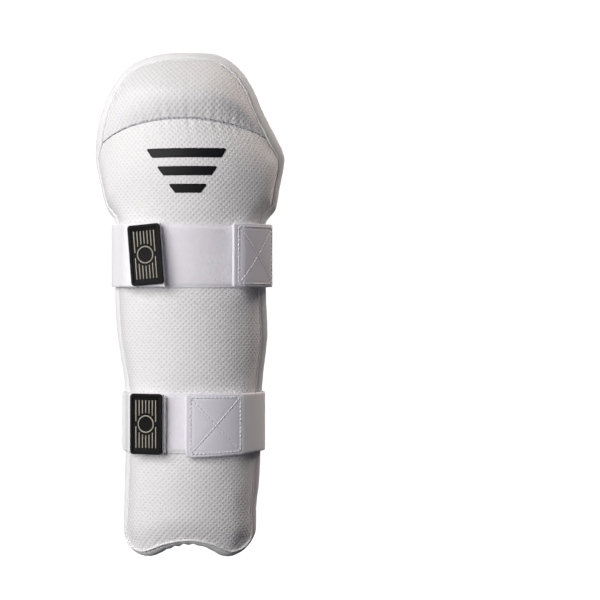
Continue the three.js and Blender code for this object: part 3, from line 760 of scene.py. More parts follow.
def make_pad(name, patch, depth, rows, pressure):
    pad = flat_block(name, PAD_COLUMNS, rows)
    block = corners_of(pad)
    u, v, layer = block[:, 0] + 0.5, block[:, 1] + 0.5, block[:, 2]
    flat = patch(u, v)
    outer = layer > 0.5
    put_corners(pad, raised(flat, BED_GAP + np.where(outer, depth(flat), 0)))
    put_pattern(pad, flat)
    sewn = ~outer | (np.minimum.reduce([u, 1 - u, v, 1 - v]) < 1e-4)
    swell(pad, sewn, flat, pressure)
    add_modifier(pad, "SUBSURF", levels=1, render_levels=1)
    return pad


def pattern_of(piece):
    """Each corner's place on the flat pattern."""
    flat = np.empty((len(piece.data.loops), 2), np.float32)
    piece.data.uv_layers["pattern"].data.foreach_get("uv", flat.ravel())
    owners = np.empty(len(piece.data.loops), np.int32)
    piece.data.loops.foreach_get("vertex_index", owners)
    places = np.zeros((len(piece.data.vertices), 2))
    places[owners] = flat
    return places


def mark_pad(pad, border):
    flat = pattern_of(pad)
    places = corners_of(pad)
    outward = face_normal(flat[:, 0], flat[:, 1])
    height = ((places - raised(flat, np.zeros(len(flat)))) * outward).sum(1)
    front = np.clip((height - BED_GAP - PAD_EDGE / 2) / PAD_EDGE, 0, 1)
    put_corners(pad, places + outward * (sewing_marks(flat, places, border) * front)[:, None])
    smooth_shading(pad, math.pi / 3)


shin_pad = make_pad("shin_pad_cover", shin_patch, shin_depth, SHIN_ROWS, SHIN_PRESSURE)
mark_pad(shin_pad, np.concatenate([shin_sides, shin_arch]))
on_guard(shin_pad, mesh_material, ["shin_pad"])
knee_pad = make_pad("knee_pad_cover", knee_patch, knee_depth, KNEE_ROWS, KNEE_PRESSURE)
mark_pad(knee_pad, knee_sides)
on_guard(knee_pad, mesh_material, ["knee_pad"])

# %% [markdown]
# ## The liner
# Against the leg lies a soft liner, 5 mm thick, with rounded air channels down its inner face. Its channels
# could be a bump in the material, but they show at the edges from behind, so they are modelled, twelve
# columns to each channel.

# %% Make the liner
LINER_MARGIN = 1.4 * MM
CHANNEL_PITCH = 9.5 * MM
CHANNEL_DEPTH = 1.4 * MM
CHANNEL_SHARPNESS = 6
COLUMNS_PER_CHANNEL = 12
LINER_ROWS = 90
LINER_WAVE = 0.25 * MM
LINER_WAVE_SIZE = 22 * MM

liner_outline = inside_rim(LINER_MARGIN)
liner_patch = coons_patch(
    by_share(stretch(liner_outline, left_index("corner"), right_index("corner"))),
    by_share(stretch(liner_outline, right_index("cup corner"), left_index("cup corner"))[::-1]),
    by_share(stretch(liner_outline, left_index("cup corner"), left_index("corner"))[::-1]),
    by_share(stretch(liner_outline, right_index("corner"), right_index("cup corner"))),
)
liner_span = liner_outline[right_index("ankle"), 0] - liner_outline[left_index("ankle"), 0]
channel_count = round(liner_span / CHANNEL_PITCH)


def make_liner():
    liner = flat_block("liner_foam", channel_count * COLUMNS_PER_CHANNEL, LINER_ROWS)
    block = corners_of(liner)
    u, v = block[:, 0] + 0.5, block[:, 1] + 0.5
    flat = liner_patch(u, v)
    channel = CHANNEL_DEPTH * np.cos(math.pi * channel_count * u) ** CHANNEL_SHARPNESS
    soft = LINER_WAVE * slow_waves(np.stack([flat[:, 0], flat[:, 1], u * 0], -1), LINER_WAVE_SIZE)
    put_corners(liner, raised(flat, np.where(block[:, 2] > 0.5, 0, channel + soft - LINER_THICKNESS)))
    put_pattern(liner, flat)
    smooth_shading(liner, math.pi / 3)
    return liner


liner = make_liner()
on_guard(liner, liner_material, ["liner"])
print("air channels:", channel_count)

# %% [markdown]
# ## The padded rim
# A soft roll of foam wrapped in knit runs all round the edge. Over the ankle arch it is gathered, so that
# it can turn the tight corner. A tube along a curve could not follow both the width and the lean of the
# edge, so a round ring is added instead, and each of its corners is put on the pattern by how far round and
# how far across it lies. Along the bottom the roll turns under, away from the light.

# %% Make the rim
RIM_STEPS = 1100
RIM_CORNERS = 20
GATHER_DEPTH = 1.9 * MM
GATHER_PITCH = 8.6 * MM
GATHER_REACH = 26 * MM
RIM_PUCKER = 0.28 * MM
RIM_PUCKER_PITCH = 11 * MM
RIM_PUCKER_OUT = 0.6  # the share of the puckers that stands out from the leg
GATHER_SWING = 0.6  # how far the gathers swing in and out, as a share of their depth
RIM_SQUARENESS = 0.65  # 1 for an oval section, less for a squarer one
TURN_UNDER = 4.5 * MM


def ring_tube(name, steps, corners):
    """A ring-shaped tube, and for each corner its share of the way round and its turn in the section."""
    bpy.ops.object.select_all(action="DESELECT")
    bpy.ops.mesh.primitive_torus_add(
        major_segments=steps, minor_segments=corners, major_radius=2, minor_radius=1, align="WORLD"
    )
    ring = bpy.context.object
    ring.name = ring.data.name = name
    places = corners_of(ring)
    around = np.mod(np.arctan2(places[:, 1], places[:, 0]) / (2 * math.pi), 1)
    turn = np.arctan2(places[:, 2], np.hypot(places[:, 0], places[:, 1]) - 2)
    return ring, around, turn


def loop_values(share, values):
    """Reads a closed list of values at shares from 0 to 1."""
    places = np.arange(len(values) + 1) / len(values)
    closed = np.concatenate([values, values[:1]])
    if closed.ndim == 1:
        return np.interp(share, places, closed)
    return np.stack([np.interp(share, places, column) for column in closed.T], -1)


def even_shares(points):
    """Shares of a closed list's numbers that walk it by its length."""
    steps = np.linalg.norm(np.roll(points, -1, 0) - points, axis=1)
    lengths = np.concatenate([[0], np.cumsum(steps)])
    numbers = np.arange(len(points) + 1) / len(points)
    return lambda share: np.interp(share, lengths / lengths[-1], numbers), lengths[-1]


def make_rim():
    rim, around, turn = ring_tube("rim_roll", RIM_STEPS, RIM_CORNERS)
    walk, total = even_shares(outline)
    at = walk(around)
    edge = loop_values(at, outline)
    inner = loop_values(at, inwards)
    width = loop_values(at, rim_widths)
    across = np.sign(np.cos(turn)) * np.abs(np.cos(turn)) ** RIM_SQUARENESS
    upwards = np.sign(np.sin(turn)) * np.abs(np.sin(turn)) ** RIM_SQUARENESS
    near_arch = (edge[:, 1] < 2 * ARCH_RISE) & (np.abs(edge[:, 0]) < GATHER_REACH)
    fade = np.where(near_arch, np.cos(math.pi / 2 * edge[:, 0] / GATHER_REACH), 0)
    fold = np.cos(2 * math.pi * edge[:, 0] / GATHER_PITCH)
    gather = fade * GATHER_DEPTH * (1 - fold) / 2
    pucker = RIM_PUCKER * ripples(around * total, RIM_PUCKER_PITCH) * (1 - fade)
    pucker -= fade * GATHER_DEPTH * fold * GATHER_SWING
    inset = width / 2 * (1 - across) + gather * np.maximum(across, 0)
    middle = (RIM_PROUD - LINER_THICKNESS) / 2
    half = (RIM_PROUD + LINER_THICKNESS) / 2
    under = TURN_UNDER * np.clip(inner[:, 1], 0, 1) * (1 + across) / 2
    offset = middle + upwards * (half + pucker * RIM_PUCKER_OUT) - under
    put_corners(rim, raised(edge + inner * inset[:, None], offset))
    face_outwards(rim)
    smooth_shading(rim, math.pi / 2)
    return rim


rim = make_rim()
on_guard(rim, rim_material, ["rim"])

# %% [markdown]
# ## The piping
# A thin cord, wrapped in the same knit, is caught in the seam between the pads and the rim. It catches the
# light as one bright line, and it hides the small gap that two sewn pieces always leave.

# %% Make the piping
PIPING_RADIUS = 0.8 * MM
PIPING_STEPS = 1000
PIPING_CORNERS = 8
PIPING_INSET = 0.35 * MM
PIPING_OFFSET = 2.9 * MM


def make_piping():
    piping, around, turn = ring_tube("piping", PIPING_STEPS, PIPING_CORNERS)
    path = inside_rim(PIPING_INSET)
    walk, total = even_shares(path)
    at = walk(around)
    flat = loop_values(at, path) - loop_values(at, inwards) * (PIPING_RADIUS * np.cos(turn))[:, None]
    put_corners(piping, raised(flat, PIPING_OFFSET + PIPING_RADIUS * np.sin(turn)))
    face_outwards(piping)
    smooth_shading(piping, math.pi / 2)
    print("piping:", round(total, 3), "m long")
    return piping


piping = make_piping()
on_guard(piping, piping_material)

# %% [markdown]
# ## Thread
# Every seam that shows is a row of stitches: short rounded lengths of thread with a small gap where the
# needle went in. One stitch is modelled from a small sphere and drawn out, and copied along each seam as
# part of one mesh.

# %% Helpers for stitches
STITCH_LENGTH = 2.6 * MM
STITCH_PITCH = 3.2 * MM
THREAD_RADIUS = 0.34 * MM


def stitch_template():
    bpy.ops.object.select_all(action="DESELECT")
    bpy.ops.mesh.primitive_uv_sphere_add(segments=8, ring_count=6, radius=1, rotation=(0, math.pi / 2, 0))
    ball = bpy.context.object
    bpy.ops.object.transform_apply(location=False, rotation=True, scale=False)
    places = corners_of(ball)
    faces = [tuple(face.vertices) for face in ball.data.polygons]
    bpy.data.objects.remove(ball)
    return places, faces


stitch_places, stitch_faces = stitch_template()


def walk_line(points, values, pitch):
    """Evenly spaced places along a line, the direction at each, and the values that go with its points."""
    points = np.asarray(points, float)
    steps = np.linalg.norm(np.diff(points, axis=0), axis=1)
    lengths = np.concatenate([[0], np.cumsum(steps)])
    count = max(int(round(lengths[-1] / pitch)), 1)
    at = (np.arange(count) + 0.5) / count * lengths[-1]

    def read(columns, length):
        return np.stack([np.interp(length, lengths, column) for column in columns.T], -1)

    next_place = read(points, np.minimum(at + pitch / 2, lengths[-1]))
    ahead = next_place - read(points, np.maximum(at - pitch / 2, 0))
    return read(points, at), ahead / np.linalg.norm(ahead, axis=1, keepdims=True), read(values, at)


def make_stitches(name, lines, radius=THREAD_RADIUS, pitch=STITCH_PITCH, share=STITCH_LENGTH / STITCH_PITCH):
    """Rows of stitches. Each line is its points and the outward directions there."""
    corners = []
    faces = []
    for points, outwards in lines:
        for middle, ahead, up in zip(*walk_line(points, outwards, pitch)):
            side = np.cross(ahead, up)
            side /= np.linalg.norm(side)
            axes = np.array([ahead * pitch * share / 2, side * radius, np.cross(side, ahead) * radius])
            start = len(corners) * len(stitch_places)
            corners.append(middle + stitch_places @ axes)
            faces += [tuple(start + i for i in face) for face in stitch_faces]
    mesh = bpy.data.meshes.new(name)
    mesh.from_pydata(np.concatenate(corners).tolist(), [], faces)
    mesh.validate()
    piece = bpy.data.objects.new(name, mesh)
    bpy.context.scene.collection.objects.link(piece)
    face_outwards(piece)
    smooth_shading(piece, math.pi / 2)
    print(name, len(corners), "stitches")
    return piece


# %% [markdown]
# ## Finish: polyester thread
# The thread is spun polyester, white and a little glossy, with a twist about 0.5 mm long. The copy sewn
# in the crease is painted greyer, as painted shade for the valley it lies in.

# %% Polyester thread
def polyester_thread(name, code):
    material = new_material(name)
    twist = fine_noise(material, object_place(material), 0.5 * MM, detail=1)
    bump = add(material, "ShaderNodeBump", {"Height": twist, "Strength": 0.4, "Distance": 0.1 * MM})
    shade = blend_colours(material, twist, colour(code[0]), colour(code[1]))
    return surface(
        material,
        {
            "Base Color": shade,
            "Roughness": 0.5,
            "IOR": 1.55,
            "Sheen Weight": 0.1,
            "Normal": bump.outputs[0],
        },
    )


thread_material = polyester_thread("polyester_thread", ("#F6F6F8", "#E9E9EE"))
# Painted shade: the crease thread is the same white thread coloured greyer, for the shadow in the valley.
painted_shade_thread_material = polyester_thread("crease_thread_painted_shade", ("#E6E6EA", "#D2D2D8"))

# %% [markdown]
# ## The seam between the pads
# The knee pad and the shin pad are stitched down to the liner along one curved crease. The thread lies in
# the valley, in shadow, so only small dots of it show, and its colour is also painted greyer, as painted
# shade. On the left it lies higher, because the cloth is looser there.

# %% Stitches in the crease
CREASE_THREAD_HEIGHT = [BED_GAP + 1.25 * PAD_EDGE, BED_GAP + 0.85 * PAD_EDGE]
CREASE_THREAD_CHANGE = [0.4, 0.6]  # where, along the crease, the thread goes from one height to the other
CREASE_THREAD_ENDS = (0.03, 0.97)
CREASE_THREAD_RADIUS = 0.45 * MM
CREASE_THREAD_PITCH = 3.6 * MM


def crease_line():
    """The thread's line, at one height on the left half and at another on the right half."""
    share = np.linspace(*CREASE_THREAD_ENDS, 120)
    flat = crease(-CREASE_GAP / 2)(share)
    height = np.interp(share, CREASE_THREAD_CHANGE, CREASE_THREAD_HEIGHT)
    return raised(flat, height), face_normal(flat[:, 0], flat[:, 1])


crease_stitches = make_stitches("crease_stitches", [crease_line()], CREASE_THREAD_RADIUS, CREASE_THREAD_PITCH)
on_guard(crease_stitches, painted_shade_thread_material)

# %% [markdown]
# ## Printed bars
# Below the knee, three black bars are printed on the cover with a thick rubbery ink. They taper downwards.
# Each bar is a thin film that follows the pad below it: its corners are dropped on to the finished cover,
# so the film dips and rises with it.

# %% Make the printed bars
BAR_FILM = 0.45 * MM
BAR_SINK = 0.3 * MM
BAR_EDGE = 0.15 * MM
BAR_HEIGHT = 7 * MM
BAR_PITCH = 13.4 * MM
LONGEST_BAR = 58 * MM
BAR_STEP = 16 * MM
BARS_BELOW_CREASE = 41 * MM
BAR_CORNER = 0.9 * MM
BAR_COLUMNS = 60
BAR_ROWS = 8


def surface_finder(piece):
    """Says how high a finished piece stands over the liner at places of the pattern."""
    data = piece.data
    tree = BVHTree.FromPolygons([v.co for v in data.vertices], [p.vertices for p in data.polygons])

    def height_at(flat, reach=25 * MM):
        starts = raised(flat, np.full(len(flat), reach))
        normals = face_normal(flat[:, 0], flat[:, 1])
        heights = []
        for start, normal in zip(starts, normals):
            hit = tree.ray_cast(Vector(start), -Vector(normal), reach)
            heights.append(reach - hit[3] if hit[3] is not None else 0)
        return np.array(heights)

    return height_at


shin_height = surface_finder(shin_pad)


def make_bar(row):
    bar = flat_block(f"printed_bar_{row + 1}", BAR_COLUMNS, BAR_ROWS)
    block = corners_of(bar)
    u, v = block[:, 0] * 2, block[:, 1] * 2
    half = (LONGEST_BAR - row * BAR_STEP) / 2
    width = half - BAR_HEIGHT / 2 * (0.5 - v / 2)
    rounding = BAR_CORNER * np.clip(1 - (1 - np.abs(u)) * width / BAR_CORNER, 0, 1) ** 2
    middle = crease(-BARS_BELOW_CREASE)(0.5)[1] + (1 - row) * BAR_PITCH
    flat = np.stack([u * width, middle + v * (BAR_HEIGHT / 2 - rounding)], -1)
    height = shin_height(flat) + np.where(block[:, 2] > 0.5, BAR_FILM, -BAR_SINK)
    put_corners(bar, raised(flat, height))
    put_pattern(bar, flat)
    add_modifier(bar, "BEVEL", width=BAR_EDGE, segments=2, limit_method="ANGLE", angle_limit=math.pi / 4)
    smooth_shading(bar, math.pi / 4)
    return bar


# %% [markdown]
# ## Finish: rubbery ink
# The ink is a black screen print of soft rubber. It sinks a little into the mesh, so the holes show through
# as faint dimples, and it has a low satin gloss.

# %% Rubbery ink
def rubber_ink():
    material = new_material("rubber_ink")
    place = pattern_place(material)
    grain = fine_noise(material, place, 0.7 * MM, detail=2)
    dimples = mesh_holes(material, place)
    height = maths(material, "ADD", maths(material, "MULTIPLY", dimples, 0.6), grain)
    bump = add(material, "ShaderNodeBump", {"Height": height, "Strength": 0.35, "Distance": 0.15 * MM})
    shade = blend_colours(material, grain, colour("#0B0B0E"), colour("#141418"))
    return surface(
        material,
        {
            "Base Color": shade,
            "Roughness": 0.55,
            "IOR": 1.5,
            "Specular IOR Level": 0.25,
            "Normal": bump.outputs[0],
        },
    )


ink_material = rubber_ink()
for row in range(3):
    on_guard(make_bar(row), ink_material, [f"knee_bar_{row + 1}"])

# %% [markdown]
# ## The route of a strap
# Each strap is one flat band of elastic, sewn down in front on its right, stretched round behind the leg
# and brought back to the front on the left. The solids of the frame already lie along that route, so the
# band's middle line is read from them: the corners at its lower edge, in order round the leg, inner and
# outer ones in pairs.

# %% Read a strap's route
STRAP_THICKNESS = 1.8 * MM
PATCH_LENGTH = 46 * MM
LABEL_WIDTH = 27 * MM
LABEL_HEIGHT = 47.5 * MM
LABEL_SKEW = {"upper": math.radians(4.7), "lower": 0.0}
END_COVER = {"upper": 1.2 * MM, "lower": 0.4 * MM}
END_FLARE = {"upper": 0.0, "lower": 2.4 * MM}
FLARE_REACH = 70 * MM
ROUTE_STEP = 0.5 * MM
ROUTE_STRETCH_STEPS = 16
ROUTE_START_MARGIN = math.radians(3)
SAME_HEIGHT = 0.1 * MM
SAME_PLACE = 0.2 * MM


def edge_corners(node):
    """The different places of a band's corners along its lower edge, seen from above."""
    low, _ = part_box(node)
    found = []
    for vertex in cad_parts[node].data.vertices:
        place = np.array(vertex.co)
        if place[2] > low.z + SAME_HEIGHT:
            continue
        if all(np.hypot(*(place[:2] - other)) > SAME_PLACE for other in found):
            found.append(place[:2])
    return np.array(found)


def strap_route(side):
    """The middle line of a strap, from its sewn end to its free end."""
    points = edge_corners(f"{side}_strap")
    low, high = (np.array(corner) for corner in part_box(f"{side}_strap"))
    centre = (low[:2] + high[:2]) / 2
    patch_low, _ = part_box(f"{side}_hook_patch")
    start = np.array([patch_low.x, patch_low.y]) - centre
    before = math.atan2(start[1], start[0]) - ROUTE_START_MARGIN
    away = points - centre
    order = np.argsort(np.mod(np.arctan2(away[:, 1], away[:, 0]) - before, 2 * math.pi))
    pairs = points[order].reshape(-1, 2, 2)
    reach = np.linalg.norm(pairs - centre, axis=2)
    inner = np.where((reach[:, :1] < reach[:, 1:]), pairs[:, 0], pairs[:, 1])
    outer = np.where((reach[:, :1] < reach[:, 1:]), pairs[:, 1], pairs[:, 0])
    return (inner + outer) / 2


def smooth_line(points, step):
    """An open spline through some points, read at even steps."""
    ends = [2 * points[0] - points[1], *points, 2 * points[-1] - points[-2]]
    fours = zip(ends, ends[1:], ends[2:], ends[3:])
    found = np.concatenate([*(spline_stretch(*four, ROUTE_STRETCH_STEPS) for four in fours), points[-1:]])
    lengths = np.concatenate([[0], np.cumsum(np.linalg.norm(np.diff(found, axis=0), axis=1))])
    at = np.linspace(0, lengths[-1], int(round(lengths[-1] / step)) + 1)
    return np.stack([np.interp(at, lengths, column) for column in found.T], -1), lengths[-1]


class Strap:
    """One strap: its route, its length and the height of its edges."""

    def __init__(self, side):
        self.side = side
        self.route, self.length = smooth_line(strap_route(side), ROUTE_STEP)
        low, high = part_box(f"{side}_strap")
        self.low = low.z
        self.width = high.z - low.z
        ahead = np.gradient(self.route, axis=0)
        ahead /= np.linalg.norm(ahead, axis=1, keepdims=True)
        self.out = np.stack([ahead[:, 1], -ahead[:, 0]], -1)
        self.ahead = ahead

    def read(self, values, length):
        at = np.clip(length, 0, self.length) / self.length * (len(self.route) - 1)
        numbers = np.arange(len(self.route))
        return np.stack([np.interp(at, numbers, column) for column in values.T], -1)

    def place(self, length, height, lift):
        """A place on the band: along it, up from its lower edge, and out from its middle."""
        length, height, lift = np.broadcast_arrays(length, height, lift)
        slant = math.tan(LABEL_SKEW[self.side]) * (self.width / 2 - height)
        near_end = np.clip((length - self.length + LABEL_WIDTH) / LABEL_WIDTH, 0, 1)
        shift = (slant * near_end + np.minimum(length, 0))[..., None]
        past = np.maximum(length - self.length, 0)[..., None]
        flat = self.read(self.route, length) + self.read(self.out, length) * lift[..., None]
        flat = flat + self.read(self.ahead, length) * (shift + past)
        flare = END_FLARE[self.side] * np.cos(math.pi / 2 * np.clip(length / FLARE_REACH, 0, 1)) ** 2
        drop = flare * (1 - height / self.width)
        return np.concatenate([flat, (self.low + height - drop)[..., None]], -1)

    def outward(self, length):
        flat = self.read(self.out, np.asarray(length, float))
        return np.concatenate([flat, np.zeros((*flat.shape[:-1], 1))], -1)


straps = [Strap(side) for side in STRAP_HEIGHTS]
for strap in straps:
    print(strap.side, "strap:", round(strap.length, 3), "m long,", round(strap.width / MM, 1), "mm wide")

# %% [markdown]
# ## Finish: woven elastic
# The straps are woven elastic: rubber cords lie along the band, and a fine white yarn crosses them in ribs
# about 1.3 mm apart. Each edge is a firm selvedge. The ribs are read along the band, so they turn with it
# round the leg. The sewn end is faced with a greyer, closely woven tape.

# %% Woven elastic
BOX_END = 3.0 * MM
RIB_PITCH = 1.3 * MM
WARP_PITCH = 1.7 * MM
SELVEDGE_WIDTH = 1.6 * MM


def woven_elastic():
    material = new_material("woven_elastic")
    place = pattern_place(material)
    parts = add(material, "ShaderNodeSeparateXYZ", {0: place})
    along_band, up_band = parts.outputs[0], parts.outputs[1]
    rib = maths(material, "SINE", maths(material, "MULTIPLY", along_band, 2 * math.pi / RIB_PITCH))
    warp = maths(material, "SINE", maths(material, "MULTIPLY", up_band, 2 * math.pi / WARP_PITCH))
    yarn = fine_noise(material, place, 0.5 * MM, detail=2)
    ribs = maths(material, "MULTIPLY", rib, 0.3)
    weave = maths(material, "MULTIPLY_ADD", warp, 0.5, ribs)
    height = maths(material, "MULTIPLY_ADD", yarn, 0.6, weave)
    bump = add(material, "ShaderNodeBump", {"Height": height, "Strength": 0.3, "Distance": 0.12 * MM})
    cloudy = fine_noise(material, place, 18 * MM)
    white = blend_colours(material, cloudy, colour("#FBFBFE"), colour("#F4F4FA"))
    plain = maths(material, "GREATER_THAN", along_band, PATCH_LENGTH - BOX_END)
    tint = blend_colours(material, plain, colour("#EBEAF3"), white)
    return surface(
        material,
        {
            "Base Color": tint,
            "Roughness": 0.66,
            "IOR": 1.5,
            "Specular IOR Level": 0.35,
            "Sheen Weight": 0.15,
            "Sheen Roughness": 0.4,
            "Normal": bump.outputs[0],
        },
    )


elastic_material = woven_elastic()

# %% [markdown]
# ## The straps
# A strap is cut from flat tape, so it starts flat: a grid as long as the route, extruded to the tape's
# thickness, and then bent along the route. Where it is sewn down, the box of stitches pulls it in, which
# leaves soft hollows between the lines of thread. Its two edges are rounded as a woven selvedge is.

# %% Make a strap
BAND_STEP = 1.1 * MM
BAND_ROWS = 44
BOX_INSET = 2.6 * MM
STITCH_PULL = 0.3 * MM
STITCH_SOFT = 1.3 * MM
SELVEDGE_THINNING = 0.45 * MM
BAND_EDGE = 0.3 * MM
EDGE_WAVE = 0.25 * MM
EDGE_WAVE_PITCH = 37 * MM


def box_lines(strap):
    """The sewn box and its two diagonals on a strap's fixed end, as lines of (length, height)."""
    left, right = BOX_END, PATCH_LENGTH - BOX_END
    low, high = BOX_INSET, strap.width - BOX_INSET
    corners = [(left, low), (right, low), (right, high), (left, high), (left, low)]
    diagonals = [[(left, low), (right, high)], [(left, high), (right, low)]]
    return [corners[i : i + 2] for i in range(4)] + diagonals


def distance_to_line(points, line):
    start, end = (np.array(p) for p in line)
    way = end - start
    share = np.clip(((points - start) @ way) / (way @ way), 0, 1)
    return np.hypot(*(points - start - share[:, None] * way).T)


def make_strap(strap):
    band = flat_block(f"{strap.side}_strap_band", round(strap.length / BAND_STEP), BAND_ROWS)
    block = corners_of(band)
    length = (block[:, 0] + 0.5) * (strap.length + END_COVER[strap.side]) - END_COVER[strap.side]
    height = (block[:, 1] + 0.5) * strap.width
    outer = block[:, 2] > 0.5
    flat = np.stack([length, height], -1)
    pull = np.zeros(len(flat))
    for line in box_lines(strap):
        pull = np.maximum(pull, np.exp(-((distance_to_line(flat, line) / STITCH_SOFT) ** 2)))
    to_edge = np.minimum(height, strap.width - height)
    selvedge = SELVEDGE_THINNING * np.clip(1 - to_edge / SELVEDGE_WIDTH, 0, 1) ** 2
    half = STRAP_THICKNESS / 2 - selvedge
    lift = np.where(outer, half - pull * STITCH_PULL, -half)
    free = np.clip((length - PATCH_LENGTH) / PATCH_LENGTH, 0, 1)
    free *= np.clip((strap.length - LABEL_WIDTH - length) / PATCH_LENGTH, 0, 1)
    wave = EDGE_WAVE * ripples(length, EDGE_WAVE_PITCH) * free
    put_corners(band, strap.place(length, height + wave * np.sign(height - strap.width / 2), lift))
    put_pattern(band, flat)
    add_modifier(band, "BEVEL", width=BAND_EDGE, segments=2, limit_method="ANGLE", angle_limit=math.pi / 3)
    smooth_shading(band, math.pi / 4)
    return band


for strap in straps:
    on_guard(make_strap(strap), elastic_material, [f"{strap.side}_strap"])


# %% [markdown]
# ## The sewn boxes
# The fixed end of each strap is sewn through with a box and a cross, the usual way to spread a pull over
# webbing. The falling diagonal is sewn first and sinks in, so the box and the rising diagonal stand out
# more.

# %% Stitch the boxes
BOX_THREAD_RADIUS = 0.5 * MM
FIRST_THREAD_RADIUS = 0.36 * MM
BOX_THREAD_PROUD = 0.3 * MM


def sewn_line(strap, line, lift):
    start, end = (np.array(p) for p in line)
    share = np.linspace(0, 1, 40)[:, None]
    flat = start * (1 - share) + end * share
    return strap.place(flat[:, 0], flat[:, 1], np.full(len(flat), lift)), strap.outward(flat[:, 0])


for strap in straps:
    lift = STRAP_THICKNESS / 2 - STITCH_PULL + BOX_THREAD_PROUD
    rows = [sewn_line(strap, line, lift) for line in box_lines(strap)]
    box = make_stitches(f"{strap.side}_box_stitches", rows[:-1], radius=BOX_THREAD_RADIUS)
    on_guard(box, thread_material)
    diagonal = make_stitches(f"{strap.side}_first_diagonal", rows[-1:], radius=FIRST_THREAD_RADIUS)
    on_guard(diagonal, thread_material)

# %% [markdown]
# ## Finish: loop pile
# The front of the shin pad carries a panel of loop tape, the soft half of a touch fastener. Thousands of
# tiny nylon loops make a dull, slightly violet fuzz. Each loop is far too small to show, so the fuzz is
# drawn as noise with blotches of 0.8 mm over softer ones of 5 mm, with a little sheen.

# %% Loop pile
def loop_pile():
    material = new_material("loop_pile")
    place = pattern_place(material)
    fuzz = fine_noise(material, place, 0.8 * MM, detail=4, roughness=0.7)
    brushed = fine_noise(material, place, 5 * MM, detail=2)
    soft = maths(material, "MULTIPLY", brushed, 0.3)
    both = maths(material, "MULTIPLY_ADD", fuzz, 0.7, soft)
    shade = blend_colours(material, both, colour("#EBE8F6"), colour("#FFFDFF"))
    bump = add(material, "ShaderNodeBump", {"Height": fuzz, "Strength": 0.8, "Distance": 0.5 * MM})
    return surface(
        material,
        {
            "Base Color": shade,
            "Roughness": 0.95,
            "IOR": 1.5,
            "Specular IOR Level": 0.1,
            "Sheen Weight": 0.15,
            "Sheen Roughness": 0.6,
            "Normal": bump.outputs[0],
        },
    )


pile_material = loop_pile()

# %% [markdown]
# ## The loop panels
# Each panel is a strip of pile tape with a thin smooth edge, sewn flat across the pad. It is bent like the
# pad, and its pile rises from the edge and is slightly uneven.

# %% Make the loop panels
PANEL_GAP = 0.3 * MM
PANEL_THICKNESS = 1.6 * MM
PANEL_EDGE = 1.7 * MM
PANEL_SMOOTH = 0.6 * PANEL_EDGE
PANEL_COLUMNS = 110
PANEL_ROWS = 60
PILE_ROUGH = 0.13 * MM
PILE_CLUMP = 1.7 * MM
FARTHEST_REACH = 60 * MM


def panel_reach(side):
    """How far round the pad the panel reaches, read from the frame's own panel."""
    low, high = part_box(f"{side}_loop_panel")
    z = (low.z + high.z) / 2 + SEAT[2]
    across = np.linspace(0, FARTHEST_REACH, 600)
    height = np.full(len(across), BED_GAP + SHIN_THICKNESS + PANEL_THICKNESS)
    line = raised(np.stack([across, np.full(len(across), z)], -1), height)
    return float(np.interp(high.x, line[:, 0], across)), low.z + SEAT[2], high.z + SEAT[2]


def make_panel(strap):
    reach, low, high = panel_reach(strap.side)
    middle = STRAP_HEIGHTS[strap.side]
    half = strap.width / 2
    panel = flat_block(f"{strap.side}_pile_panel", PANEL_COLUMNS, PANEL_ROWS)
    block = corners_of(panel)
    flat = np.stack([block[:, 0] * 2 * reach, middle + block[:, 1] * 2 * half], -1)
    to_edge = half - np.abs(flat[:, 1] - middle)
    rise = np.clip((to_edge - PANEL_SMOOTH) / PANEL_EDGE, 0, 1)
    fuzz = PILE_ROUGH * slow_waves(raised(flat, np.zeros(len(flat))), PILE_CLUMP) * rise
    outer = block[:, 2] > 0.5
    top = PANEL_GAP + PANEL_THICKNESS * (0.5 + 0.5 * rise) + fuzz
    height = BED_GAP + shin_depth(flat) + np.where(outer, top, PANEL_GAP)
    put_corners(panel, raised(flat, height))
    put_pattern(panel, flat)
    smooth_shading(panel, math.pi / 4)
    print(strap.side, "panel:", round(2 * reach / MM), "mm of the pattern by", round(2 * half / MM), "mm")
    return panel


for strap in straps:
    on_guard(make_panel(strap), pile_material, [f"{strap.side}_loop_panel"])

# %% [markdown]
# ## Finish: hook tape
# The other half of the fastener is a stiff white nylon tape with rows of small hooks, 1.5 mm apart. Only
# its edges show, past the strap's sewn end and beside the label.

# %% Hook tape
HOOK_PITCH = 1.5 * MM


def hook_nylon():
    material = new_material("hook_nylon")
    place = object_place(material)
    rows = {"Vector": place, "Scale": 1 / HOOK_PITCH, "Randomness": 0.15}
    hooks = add(material, "ShaderNodeTexVoronoi", rows).outputs["Distance"]
    bump = add(material, "ShaderNodeBump", {"Height": hooks, "Strength": 0.4, "Distance": 0.3 * MM})
    return surface(
        material,
        {"Base Color": colour("#F3F3F6"), "Roughness": 0.45, "IOR": 1.53, "Normal": bump.outputs[0]},
    )


hook_material = hook_nylon()


# %% Make the hook tapes
TAPE_EDGE = 0.35 * MM
TAPE_MERGE_DISTANCE = 0.02 * MM


def frame_copy(node, name):
    """A copy of a solid of the frame, merged, with its place in its mesh."""
    piece = bpy.data.objects.new(name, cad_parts[node].data.copy())
    bpy.context.scene.collection.objects.link(piece)
    pick(piece)
    bpy.ops.object.mode_set(mode="EDIT")
    bpy.ops.mesh.select_all(action="SELECT")
    bpy.ops.mesh.remove_doubles(threshold=TAPE_MERGE_DISTANCE)
    bpy.ops.mesh.tris_convert_to_quads()
    bpy.ops.object.mode_set(mode="OBJECT")
    face_outwards(piece)
    return piece


def make_hook_tape(node):
    tape = frame_copy(node, node.replace("hook", "hook_tape"))
    add_modifier(tape, "BEVEL", width=TAPE_EDGE, segments=3, limit_method="ANGLE", angle_limit=math.pi / 4)
    smooth_shading(tape, math.pi / 5)
    return tape


for strap in straps:
    for node in (f"{strap.side}_hook_patch", f"{strap.side}_hook_tab"):
        on_guard(make_hook_tape(node), hook_material, [node])

